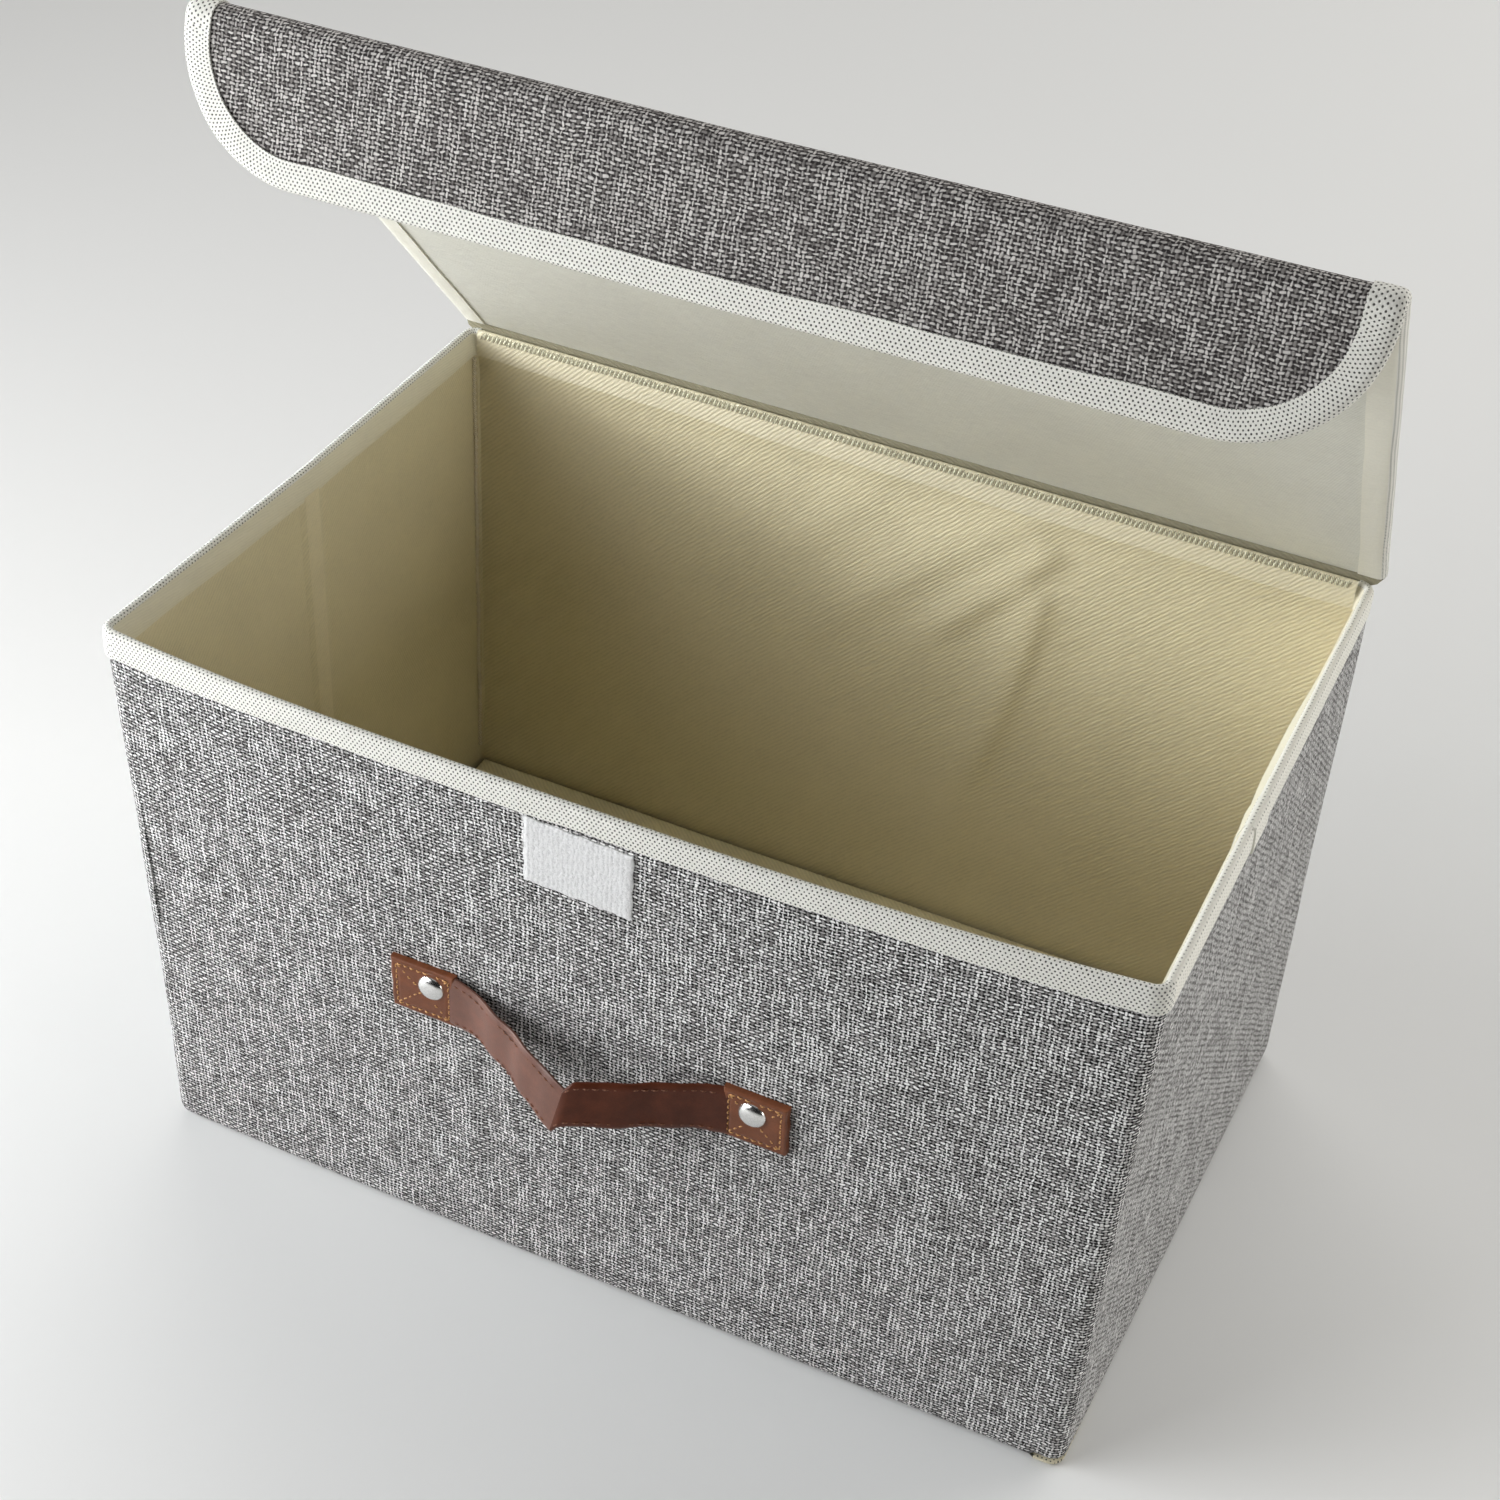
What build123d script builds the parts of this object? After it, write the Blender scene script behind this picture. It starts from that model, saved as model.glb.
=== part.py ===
# Collapsible fabric storage bin with a sewn-on lid, a drop flap, a strap handle and a flip-up base board.
# Millimetres. Origin: centre of the underside. +X along the front, +Y to the back wall, +Z up.
from build123d import *
import math
import os

os.makedirs("parts", exist_ok=True)

# ---- driving dimensions -------------------------------------------------
WIDTH = 260.0            # outside, along X
DEPTH = 168.0            # outside, along Y, at the corners
HEIGHT = 163.0           # rim above the ground
T_OUT = 0.8              # outer cloth
T_BOARD = 1.8            # stiffening board
T_LIN = 0.4              # lining
T_TAPE = 0.6             # binding tape over an edge
TAPE_OUT = 8.5           # width of the binding tape on the outside
TAPE_IN = 8.0            # and on the inside
FRONT_BOW = 1.5          # outward bow of the front wall at mid width

WALL_Z0 = 15.1           # lower edge of the walls
PAN_H = 14.8             # upturned edge of the base cloth
PAN_T = 0.8
FLOOR_T = 0.6
PAN_R = 3.0              # bottom edge radius

INSERT_TOP = 12.0        # top of the covered base board
INSERT_T = 3.0
COVER_T = 0.3
INSERT_REAR = 80.4       # rear edge, which is also its hinge line
INSERT_DEPTH = 150.0
INSERT_W = 251.6
SEAM_W = 9.0             # width of the folded seam allowance round the floor

GAP = 0.3                # between neighbouring panels of the fold
PIV_X = 126.2            # corner fold lines
PIV_Y = 77.8
MID_X = 130.8            # middle fold lines

LID_W = 268.0
LID_Z = HEIGHT + 0.4     # underside of the closed lid
LID_HINGE_Y = DEPTH / 2 + 0.3
LID_HINGE_Z = HEIGHT + 0.3
LID_FRONT_Y = -DEPTH / 2 - FRONT_BOW - 3.6
LID_OPEN = 49.0          # lid's angle above closed at rest
FLAP_L = 34.0
FLAP_R = 30.0
FLAP_T_BOARD = 1.4
FLAP_IN_Y = LID_FRONT_Y - 0.2     # inner face of the closed flap
FOLD_Y = FLAP_IN_Y + 1.0          # crease line between lid and flap, lid closed
FOLD_Z = LID_Z - 1.1
FLAP_FOLD_CLOSED = 90.0
FLAP_FOLD_REST = 124.3
LID_TAPE = 8.5

PATCH_X, PATCH_Z = -3.9, 144.6    # closure patch on the front
PATCH_W, PATCH_H, PATCH_T = 27.6, 19.4, 0.9
HOOK_W, HOOK_H = 25.0, 16.0

HANDLE_X, HANDLE_Z = -1.5, 86.6
TAB_OFF = 44.1                    # tab centre from the handle's centre
TAB_W, TAB_H, TAB_T = 16.8, 16.4, 2.2
STRAP_H, STRAP_T = 13.0, 1.8
LOOP_START = 25.7                 # where the free loop begins, from the centre
STRAP_OUT = 9.5                  # loop's reach from the wall
STRAP_SAG = 11.5
RIVET_R, RIVET_H = 3.5, 1.7
POST_R, HOLE_R = 1.25, 1.3
BACK_R, BACK_T = 3.6, 0.8

T_WALL = T_OUT + T_BOARD + T_LIN
XO, YO = WIDTH / 2, DEPTH / 2
XI, YI = XO - T_WALL, YO - T_WALL

# front wall: faces are arcs about one far axis
R_FRONT = (XO**2 + FRONT_BOW**2) / (2 * FRONT_BOW)
YC_FRONT = -YO - FRONT_BOW + R_FRONT


def front_y(x, d):
    """Y of the front wall's surface that lies d inside its outer face."""
    return YC_FRONT - math.sqrt((R_FRONT - d) ** 2 - x * x)


def bx(x0, x1, y0, y1, z0, z1):
    return Pos((x0 + x1) / 2, (y0 + y1) / 2, (z0 + z1) / 2) * Box(x1 - x0, y1 - y0, z1 - z0)


def bowed(x0, x1, d0, d1, z0, z1):
    """Panel of the front wall between depths d0 and d1."""
    xm = (x0 + x1) / 2

    def p(x, d):
        return (x, front_y(x, d))

    f = make_face(
        [
            ThreePointArc(p(x0, d0), p(xm, d0), p(x1, d0)),
            Line(p(x1, d0), p(x1, d1)),
            ThreePointArc(p(x1, d1), p(xm, d1), p(x0, d1)),
            Line(p(x0, d1), p(x0, d0)),
        ]
    )
    return Pos(0, 0, z0) * extrude(f, z1 - z0, dir=(0, 0, 1))


def one(shape):
    """The single solid of a shape."""
    s = shape.solids()
    assert len(s) == 1, len(s)
    return s[0]


nodes = {}

# ---- back wall ------------------------------------------------------------
zt = HEIGHT - T_TAPE
nodes["back_outer"] = bx(-XO, XO, YO - T_OUT, YO, PAN_H, HEIGHT - TAPE_OUT)
nodes["back_board"] = bx(-XO, XO, YI + T_LIN, YO - T_OUT, PAN_H, zt)
nodes["back_lining"] = bx(-XO, XO, YI, YI + T_LIN, PAN_H, HEIGHT - TAPE_IN)
nodes["back_rim_tape"] = (
    bx(-XO, XO, YI, YO, zt, HEIGHT)
    + bx(-XO, XO, YO - T_OUT, YO, HEIGHT - TAPE_OUT, zt)
    + bx(-XO, XO, YI, YI + T_LIN, HEIGHT - TAPE_IN, zt)
)

# ---- base -------------------------------------------------------------------
pan = bx(-XO, XO, -YO, YO, 0, PAN_H)
pan = fillet(pan.edges().group_by(Axis.Z)[0], PAN_R)
hollow = bx(-XO + PAN_T, XO - PAN_T, -YO + PAN_T, YO - PAN_T, FLOOR_T, PAN_H + 5)
hollow = fillet(hollow.edges().group_by(Axis.Z)[0], PAN_R - PAN_T)
nodes["base_cloth"] = pan - hollow

sx, sy = XO - PAN_T - 2.6, YO - PAN_T - 2.6
seam_top = INSERT_TOP - INSERT_T
nodes["seam_allowance"] = bx(-sx, sx, -sy, sy, FLOOR_T, seam_top) - bx(
    -sx + SEAM_W, sx - SEAM_W, -sy + SEAM_W, sy - SEAM_W, -1, seam_top + 1
)
iw = INSERT_W / 2
iy0, iy1 = INSERT_REAR - INSERT_DEPTH, INSERT_REAR
core = bx(-iw + COVER_T, iw - COVER_T, iy0 + COVER_T, iy1 - COVER_T, seam_top + COVER_T, INSERT_TOP - COVER_T)
nodes["base_board"] = core
nodes["base_cover"] = bx(-iw, iw, iy0, iy1, seam_top, INSERT_TOP) - core

# ---- sides: two halves each, creased at the middle ---------------------------
for side, sgn in (("left", -1), ("right", 1)):
    for half, y0, y1 in (("rear", GAP, YI - GAP), ("front", -YI + GAP, -GAP)):

        def panel(x_in, x_out, z0, z1):
            a, b = sorted((sgn * x_in, sgn * x_out))
            return bx(a, b, y0, y1, z0, z1)

        n = side + "_" + half
        nodes[n + "_outer"] = panel(XO - T_OUT, XO, WALL_Z0, HEIGHT - TAPE_OUT)
        nodes[n + "_board"] = panel(XI + T_LIN, XO - T_OUT, WALL_Z0, zt)
        nodes[n + "_lining"] = panel(XI, XI + T_LIN, WALL_Z0, HEIGHT - TAPE_IN)
        nodes[n + "_rim_tape"] = (
            panel(XI, XO, zt, HEIGHT)
            + panel(XO - T_OUT, XO, HEIGHT - TAPE_OUT, zt)
            + panel(XI, XI + T_LIN, HEIGHT - TAPE_IN, zt)
        )

# ---- front wall ---------------------------------------------------------------
tab_x = (HANDLE_X - TAB_OFF, HANDLE_X + TAB_OFF)


def rivet_line(x, r, d0, d1):
    """Cylinder along Y at a rivet, from depth d0 to d1 of the front wall."""
    y0, y1 = front_y(x, d0), front_y(x, d1)
    return Pos(x, (y0 + y1) / 2, HANDLE_Z) * Rot(X=90) * Cylinder(r, abs(y1 - y0))


holes = [rivet_line(x, HOLE_R, -8, 8) for x in tab_x]
d_b = T_OUT + T_BOARD
outer = bowed(-XO, XO, 0, T_OUT, WALL_Z0, HEIGHT - TAPE_OUT)
board = bowed(-XO, XO, T_OUT, d_b, WALL_Z0, zt)
lining = bowed(-XO, XO, d_b, T_WALL, WALL_Z0, HEIGHT - TAPE_IN)
for h in holes:
    outer, board, lining = outer - h, board - h, lining - h
nodes["front_outer"], nodes["front_board"], nodes["front_lining"] = outer, board, lining
nodes["front_rim_tape"] = (
    bowed(-XO, XO, 0, T_WALL, zt, HEIGHT)
    + bowed(-XO, XO, 0, T_OUT, HEIGHT - TAPE_OUT, zt)
    + bowed(-XO, XO, d_b, T_WALL, HEIGHT - TAPE_IN, zt)
)
nodes["loop_patch"] = bowed(
    PATCH_X - PATCH_W / 2, PATCH_X + PATCH_W / 2, -PATCH_T, 0, PATCH_Z - PATCH_H / 2, PATCH_Z + PATCH_H / 2
)


# ---- handle: two stitched tabs and the free loop between them -----------------
def strap_section(x, y, z):
    """Upright strap section, its middle at y and z."""
    return Plane(origin=(x, y, z), x_dir=(0, 1, 0), z_dir=(1, 0, 0)) * Rectangle(STRAP_T, STRAP_H)


wall_mid = front_y(HANDLE_X, 0)
mid = (HANDLE_X, wall_mid - STRAP_OUT, HANDLE_Z - STRAP_SAG)
ends, arms = [], []
for sgn in (-1, 1):
    xe = HANDLE_X + sgn * (TAB_OFF - TAB_W / 2)
    root = (xe, front_y(xe, 0) - TAB_T / 2, HANDLE_Z)
    xs = HANDLE_X + sgn * LOOP_START
    start = (xs, front_y(xs, 0) - 5.2, HANDLE_Z - 3.6)
    gap = GAP * sgn
    xa, xb = sorted((HANDLE_X + sgn * (TAB_OFF - TAB_W / 2), HANDLE_X + sgn * (TAB_OFF + TAB_W / 2)))
    tab = bowed(xa, xb, -TAB_T, 0, HANDLE_Z - TAB_H / 2, HANDLE_Z + TAB_H / 2)
    rise = loft([strap_section(*root), strap_section(start[0] + gap, start[1], start[2])], ruled=True)
    ends.append(one((tab + rise) - rivet_line(HANDLE_X + sgn * TAB_OFF, HOLE_R, -8, 8)))
    arms.append(loft([strap_section(*start), strap_section(*mid)], ruled=True))
nodes["handle_ends"] = Compound(children=ends)
nodes["handle_strap"] = one(arms[0] + arms[1])

dome_h = RIVET_H - 0.45
dome_r = (RIVET_R**2 + dome_h**2) / (2 * dome_h)
dome = Pos(0, 0, 0.225) * Cylinder(RIVET_R, 0.45) + (
    Pos(0, 0, RIVET_H - dome_r) * Sphere(dome_r) & Pos(0, 0, 5.45) * Box(20, 20, 10)
)
caps, posts, backs = [], [], []
for x in tab_x:
    y_tab = front_y(x, -TAB_T) - 0.08
    caps.append(one(Pos(x, y_tab, HANDLE_Z) * Rot(X=90) * dome))
    y_in = front_y(x, T_WALL) + 0.08
    posts.append(one(Pos(x, (y_tab + y_in) / 2, HANDLE_Z) * Rot(X=90) * Cylinder(POST_R, y_in - y_tab)))
    backs.append(one(Pos(x, y_in + BACK_T / 2, HANDLE_Z) * Rot(X=90) * Cylinder(BACK_R, BACK_T)))
nodes["rivet_caps"] = Compound(children=caps)
nodes["rivet_posts"] = Compound(children=posts)
nodes["rivet_backs"] = Compound(children=backs)

# ---- lid, drawn closed, then opened about its hinge line -----------------------
hinge = Pos(0, LID_HINGE_Y, LID_HINGE_Z)
opened = hinge * Rot(X=-LID_OPEN) * hinge.inverse()
lw = LID_W / 2
ly0, ly1 = LID_FRONT_Y, LID_HINGE_Y - 0.5
z1, z2, z3 = LID_Z + T_LIN, LID_Z + T_LIN + T_BOARD, LID_Z + T_WALL
lid = {
    "lid_outer": bx(-lw + LID_TAPE, lw - LID_TAPE, ly0, ly1, z2, z3),
    "lid_board": bx(-lw + T_TAPE, lw - T_TAPE, ly0, ly1, z1, z2),
    "lid_lining": bx(-lw + LID_TAPE, lw - LID_TAPE, ly0, ly1, LID_Z, z1),
}
tapes = []
for sgn in (-1, 1):

    def strip(a, b, za, zb):
        p, q = sorted((sgn * a, sgn * b))
        return bx(p, q, ly0, ly1, za, zb)

    tapes.append(
        one(strip(lw - T_TAPE, lw, LID_Z, z3) + strip(lw - LID_TAPE, lw - T_TAPE, z2, z3) + strip(lw - LID_TAPE, lw - T_TAPE, LID_Z, z1))
    )
lid["lid_tape_left"], lid["lid_tape_right"] = tapes

# ---- flap, drawn hanging from the closed lid -------------------------------------
flap_top = FOLD_Z + 0.2


def flap_layer(inset, d0, d1):
    """Flap outline pulled in by inset, from d0 to d1 in front of the inner face."""
    w, h, r = LID_W - 2 * inset, FLAP_L - inset, FLAP_R - inset
    x, z = w / 2, flap_top - h
    k = r * (1 - math.sqrt(0.5))
    y = FLAP_IN_Y - d0

    def v(a, b):
        return (a, y, b)

    f = make_face(
        [
            Line(v(-x, flap_top), v(-x, z + r)),
            ThreePointArc(v(-x, z + r), v(-x + k, z + k), v(-x + r, z)),
            Line(v(-x + r, z), v(x - r, z)),
            ThreePointArc(v(x - r, z), v(x - k, z + k), v(x, z + r)),
            Line(v(x, z + r), v(x, flap_top)),
            Line(v(x, flap_top), v(-x, flap_top)),
        ]
    )
    return extrude(f, d1 - d0, dir=(0, -1, 0))


f1, f2, f3 = T_LIN, T_LIN + FLAP_T_BOARD, T_LIN + FLAP_T_BOARD + T_OUT
flap = {
    "flap_lining": flap_layer(LID_TAPE, 0, f1),
    "flap_board": flap_layer(T_TAPE, f1, f2),
    "flap_outer": flap_layer(LID_TAPE, f2, f3),
    "flap_tape": flap_layer(0, 0, f3) - flap_layer(T_TAPE, f1, f2) - flap_layer(LID_TAPE, 0, f3),
    "hook_patch": bx(
        PATCH_X - HOOK_W / 2, PATCH_X + HOOK_W / 2, FLAP_IN_Y, FLAP_IN_Y + PATCH_T,
        flap_top - FLAP_L + LID_TAPE + 0.5, flap_top - FLAP_L + LID_TAPE + 0.5 + HOOK_H,
    ),
}
fold = Pos(0, FOLD_Y, FOLD_Z)
folded = fold * Rot(X=FLAP_FOLD_REST - FLAP_FOLD_CLOSED) * fold.inverse()
for n, s in lid.items():
    nodes[n] = opened * s
for n, s in flap.items():
    nodes[n] = opened * folded * s

for n, s in nodes.items():
    export_step(s, "parts/" + n + ".step")

# crease line of the flap with the lid at rest, for the joint list
crease = (opened * Pos(0, FOLD_Y, FOLD_Z)).position
print("nodes", len(nodes))
print("lid hinge", LID_HINGE_Y, LID_HINGE_Z, "flap crease at rest", crease.Y, crease.Z)
print("handle axis y", front_y(HANDLE_X, 0) - 1.1, "z", HANDLE_Z, "strap middle", mid)
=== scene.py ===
import math
import bpy
import bmesh
import numpy as np
from mathutils import Matrix


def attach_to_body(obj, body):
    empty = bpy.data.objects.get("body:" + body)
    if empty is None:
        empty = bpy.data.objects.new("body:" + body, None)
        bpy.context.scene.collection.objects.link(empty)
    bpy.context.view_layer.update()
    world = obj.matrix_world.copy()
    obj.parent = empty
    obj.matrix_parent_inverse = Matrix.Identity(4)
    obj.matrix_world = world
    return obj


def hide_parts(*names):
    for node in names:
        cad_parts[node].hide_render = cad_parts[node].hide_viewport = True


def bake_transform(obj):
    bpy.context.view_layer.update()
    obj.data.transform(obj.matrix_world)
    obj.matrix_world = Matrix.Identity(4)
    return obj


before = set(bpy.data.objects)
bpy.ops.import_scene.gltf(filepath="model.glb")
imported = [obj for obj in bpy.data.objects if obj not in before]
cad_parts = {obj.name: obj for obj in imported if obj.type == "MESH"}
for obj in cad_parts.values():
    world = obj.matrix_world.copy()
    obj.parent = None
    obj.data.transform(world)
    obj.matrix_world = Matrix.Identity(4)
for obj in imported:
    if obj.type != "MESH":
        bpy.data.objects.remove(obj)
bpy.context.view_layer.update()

rng = np.random.RandomState(11)

# ------------------------------------------------------------------ sizes, mm
W2, D2, H = 130.0, 84.0, 163.0
WALL_Z0 = 15.1
T_OUT, T_LIN = 0.8, 0.35
LIN_IN = 3.0
HINGE_Y, HINGE_Z = 84.3, 163.3
FOLD_L, FOLD_OFF = 172.6, -1.1
FOLD_REST = math.radians(124.3)
FLAP_L, FLAP_R = 32.0, 30.0
PITCH_U, PITCH_V = 1.125, 0.975


# ------------------------------------------------------------------ materials
class Nodes:
    def __init__(self, name):
        self.mat = bpy.data.materials.new(name)
        self.mat.use_nodes = True
        self.nt = self.mat.node_tree
        self.nt.nodes.clear()
        self.out = self.nt.nodes.new("ShaderNodeOutputMaterial")
        self.bsdf = self.nt.nodes.new("ShaderNodeBsdfPrincipled")
        self.nt.links.new(self.bsdf.outputs[0], self.out.inputs[0])

    def link(self, a, b):
        self.nt.links.new(a, b)

    def put(self, socket, value):
        if isinstance(value, bpy.types.NodeSocket):
            self.link(value, socket)
        else:
            socket.default_value = value

    def uv(self):
        n = self.nt.nodes.new("ShaderNodeUVMap")
        n.uv_map = "cloth"
        s = self.nt.nodes.new("ShaderNodeSeparateXYZ")
        self.link(n.outputs[0], s.inputs[0])
        return s.outputs[0], s.outputs[1]

    def m(self, op, a, b=0.0, c=0.0):
        n = self.nt.nodes.new("ShaderNodeMath")
        n.operation = op
        self.put(n.inputs[0], a)
        self.put(n.inputs[1], b)
        self.put(n.inputs[2], c)
        return n.outputs[0]

    def vec(self, x, y, z=0.0):
        n = self.nt.nodes.new("ShaderNodeCombineXYZ")
        for i, v in enumerate((x, y, z)):
            self.put(n.inputs[i], v)
        return n.outputs[0]

    def noise(self, vec, scale=1.0, detail=2.0, rough=0.5):
        n = self.nt.nodes.new("ShaderNodeTexNoise")
        n.noise_dimensions = "3D"
        self.link(vec, n.inputs["Vector"])
        n.inputs["Scale"].default_value = scale
        n.inputs["Detail"].default_value = detail
        n.inputs["Roughness"].default_value = rough
        return n.outputs["Fac"]

    def ramp(self, fac, stops, mode="LINEAR"):
        n = self.nt.nodes.new("ShaderNodeValToRGB")
        n.color_ramp.interpolation = mode
        els = n.color_ramp.elements
        while len(els) > 1:
            els.remove(els[-1])
        els[0].position, els[0].color = stops[0][0], (*stops[0][1], 1)
        for p, c in stops[1:]:
            e = els.new(p)
            e.color = (*c, 1)
        self.link(fac, n.inputs[0])
        return n.outputs[0]

    def rng(self, v, a, b, c, d, smooth=False):
        n = self.nt.nodes.new("ShaderNodeMapRange")
        if smooth:
            n.interpolation_type = "SMOOTHSTEP"
        self.link(v, n.inputs[0])
        for i, x in enumerate((a, b, c, d)):
            n.inputs[1 + i].default_value = x
        return n.outputs[0]

    def mix(self, fac, a, b, mode="MIX"):
        n = self.nt.nodes.new("ShaderNodeMix")
        n.data_type = "RGBA"
        n.blend_type = mode
        self.put(n.inputs[0], fac)
        for k, v in ((6, a), (7, b)):
            self.put(n.inputs[k], v if isinstance(v, bpy.types.NodeSocket) else (*v, 1))
        return n.outputs[2]

    def mixf(self, fac, a, b):
        n = self.nt.nodes.new("ShaderNodeMix")
        n.data_type = "FLOAT"
        self.put(n.inputs[0], fac)
        self.put(n.inputs[2], a)
        self.put(n.inputs[3], b)
        return n.outputs[0]

    def bump(self, height, strength, dist):
        n = self.nt.nodes.new("ShaderNodeBump")
        n.inputs["Strength"].default_value = strength
        n.inputs["Distance"].default_value = dist
        self.link(height, n.inputs["Height"])
        self.link(n.outputs[0], self.bsdf.inputs["Normal"])

    def set(self, **kw):
        for k, v in kw.items():
            self.put(self.bsdf.inputs[k.replace("_", " ")], v)
        return self.mat


def linen(name, shade=(1.0, 1.0, 1.0), gap=(0.005, 0.0047, 0.0045)):
    """Plain weave of heathered grey yarn: short pale and dark floats, each yarn passing over and under in turn. The
    near-black gap colour between the yarns and the darkening of each yarn towards its edges are painted shade.
    """
    n = Nodes(name)
    u, v = n.uv()
    w1 = n.noise(n.vec(u, v, 0.0), 0.11, 2.0)
    w2 = n.noise(n.vec(v, u, 7.0), 0.11, 2.0)
    u = n.m("ADD", u, n.m("MULTIPLY", w1, 1.6))
    v = n.m("ADD", v, n.m("MULTIPLY", w2, 1.6))
    j1 = n.noise(n.vec(u, v, 31.0), 0.55, 1.0)
    j2 = n.noise(n.vec(v, u, 37.0), 0.55, 1.0)
    u = n.m("ADD", u, n.m("MULTIPLY", j1, 0.75))
    v = n.m("ADD", v, n.m("MULTIPLY", j2, 0.75))
    a = n.m("DIVIDE", u, PITCH_U)
    b = n.m("DIVIDE", v, PITCH_V)
    ia, ib = n.m("FLOOR", a), n.m("FLOOR", b)
    fa = n.m("SUBTRACT", n.m("FRACT", a), 0.5)
    fb = n.m("SUBTRACT", n.m("FRACT", b), 0.5)
    par = n.m("FLOORED_MODULO", n.m("ADD", ia, ib), 2.0)
    npar = n.m("SUBTRACT", 1.0, par)
    # tone of each yarn: it drifts along the yarn and changes from float to float
    ua = n.m("MULTIPLY", ia, 7.313)
    vb = n.m("MULTIPLY", ib, 7.313)
    warp = n.noise(n.vec(ua, n.m("MULTIPLY", v, 0.10), 3.0), 1.0, 1.0, 0.5)
    weft = n.noise(n.vec(n.m("MULTIPLY", u, 0.16), vb, 41.0), 1.0, 1.0, 0.5)
    cell = n.noise(n.vec(ua, n.m("MULTIPLY", ib, 5.917), 63.0), 1.0, 0.0)
    fibre = n.noise(n.vec(n.m("MULTIPLY", u, 2.6), n.m("MULTIPLY", v, 2.6), 9.0), 1.0, 2.0, 0.7)
    # width of each yarn changes a little along it
    slub = n.noise(n.vec(ua, n.m("MULTIPLY", v, 0.4), 13.0), 1.0, 1.0)
    slub2 = n.noise(n.vec(n.m("MULTIPLY", u, 0.4), vb, 23.0), 1.0, 1.0)
    # a float swells in the middle of its crossing and narrows as it dives under
    qa = n.m("MULTIPLY", n.m("MULTIPLY", fb, fb), 0.22)
    qb = n.m("MULTIPLY", n.m("MULTIPLY", fa, fa), 0.22)
    da = n.m("ADD", n.m("ADD", n.m("ABSOLUTE", fa), qa), n.m("MULTIPLY", n.m("SUBTRACT", slub, 0.5), 0.50))
    db = n.m("ADD", n.m("ADD", n.m("ABSOLUTE", fb), qb), n.m("MULTIPLY", n.m("SUBTRACT", slub2, 0.5), 0.50))
    in_a = n.rng(da, 0.16, 0.28, 1.0, 0.0, True)
    in_b = n.rng(db, 0.21, 0.33, 1.0, 0.0, True)
    # where a yarn is underneath it lies deeper and in shade
    deep_a = n.m("SUBTRACT", 1.0, n.m("MULTIPLY", npar, 0.60))
    deep_b = n.m("SUBTRACT", 1.0, n.m("MULTIPLY", par, 0.72))
    top_a = n.m("MULTIPLY", in_a, n.m("SUBTRACT", 1.0, n.m("MULTIPLY", in_b, npar)))
    top_b = n.m("MULTIPLY", in_b, n.m("SUBTRACT", 1.0, n.m("MULTIPLY", in_a, par)))
    # painted shade: each yarn is darkened towards its edges, as if shaded round its rounded section
    crown_a = n.m("SUBTRACT", 1.0, n.m("MULTIPLY", n.m("MULTIPLY", fa, fa), 3.0))
    crown_b = n.m("SUBTRACT", 1.0, n.m("MULTIPLY", n.m("MULTIPLY", fb, fb), 3.0))
    sa = n.m("MULTIPLY", n.m("MULTIPLY", top_a, crown_a), deep_a)
    sb = n.m("MULTIPLY", n.m("MULTIPLY", top_b, crown_b), deep_b)
    WEFT = [(0.26, (0.36, 0.348, 0.342)), (0.44, (0.74, 0.728, 0.718)), (0.56, (0.93, 0.92, 0.91)), (0.70, (0.98, 0.975, 0.965))]
    fz = n.m("MULTIPLY", n.m("SUBTRACT", fibre, 0.5), 0.20)
    ce = n.m("MULTIPLY", n.m("SUBTRACT", cell, 0.5), 0.36)
    add = n.m("ADD", fz, ce)
    WARP = [(0.28, (0.17, 0.161, 0.157)), (0.45, (0.33, 0.320, 0.313)), (0.56, (0.66, 0.65, 0.64)), (0.66, (0.97, 0.96, 0.95))]
    ca = n.ramp(n.m("ADD", warp, add), [(t, tuple(x * q for x, q in zip(c, shade))) for t, c in WARP])
    cb = n.ramp(n.m("ADD", weft, add), [(t, tuple(x * q for x, q in zip(c, shade))) for t, c in WEFT])
    # the gap colour between the yarns is painted shade
    col = n.mix(sb, gap, cb)
    col = n.mix(sa, col, ca)
    h = n.m("MAXIMUM", sa, sb)
    n.bump(n.m("ADD", h, n.m("MULTIPLY", fibre, 0.2)), 0.6, 0.0003)
    return n.set(Base_Color=col, Roughness=0.88, Specular_IOR_Level=0.2)


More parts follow.
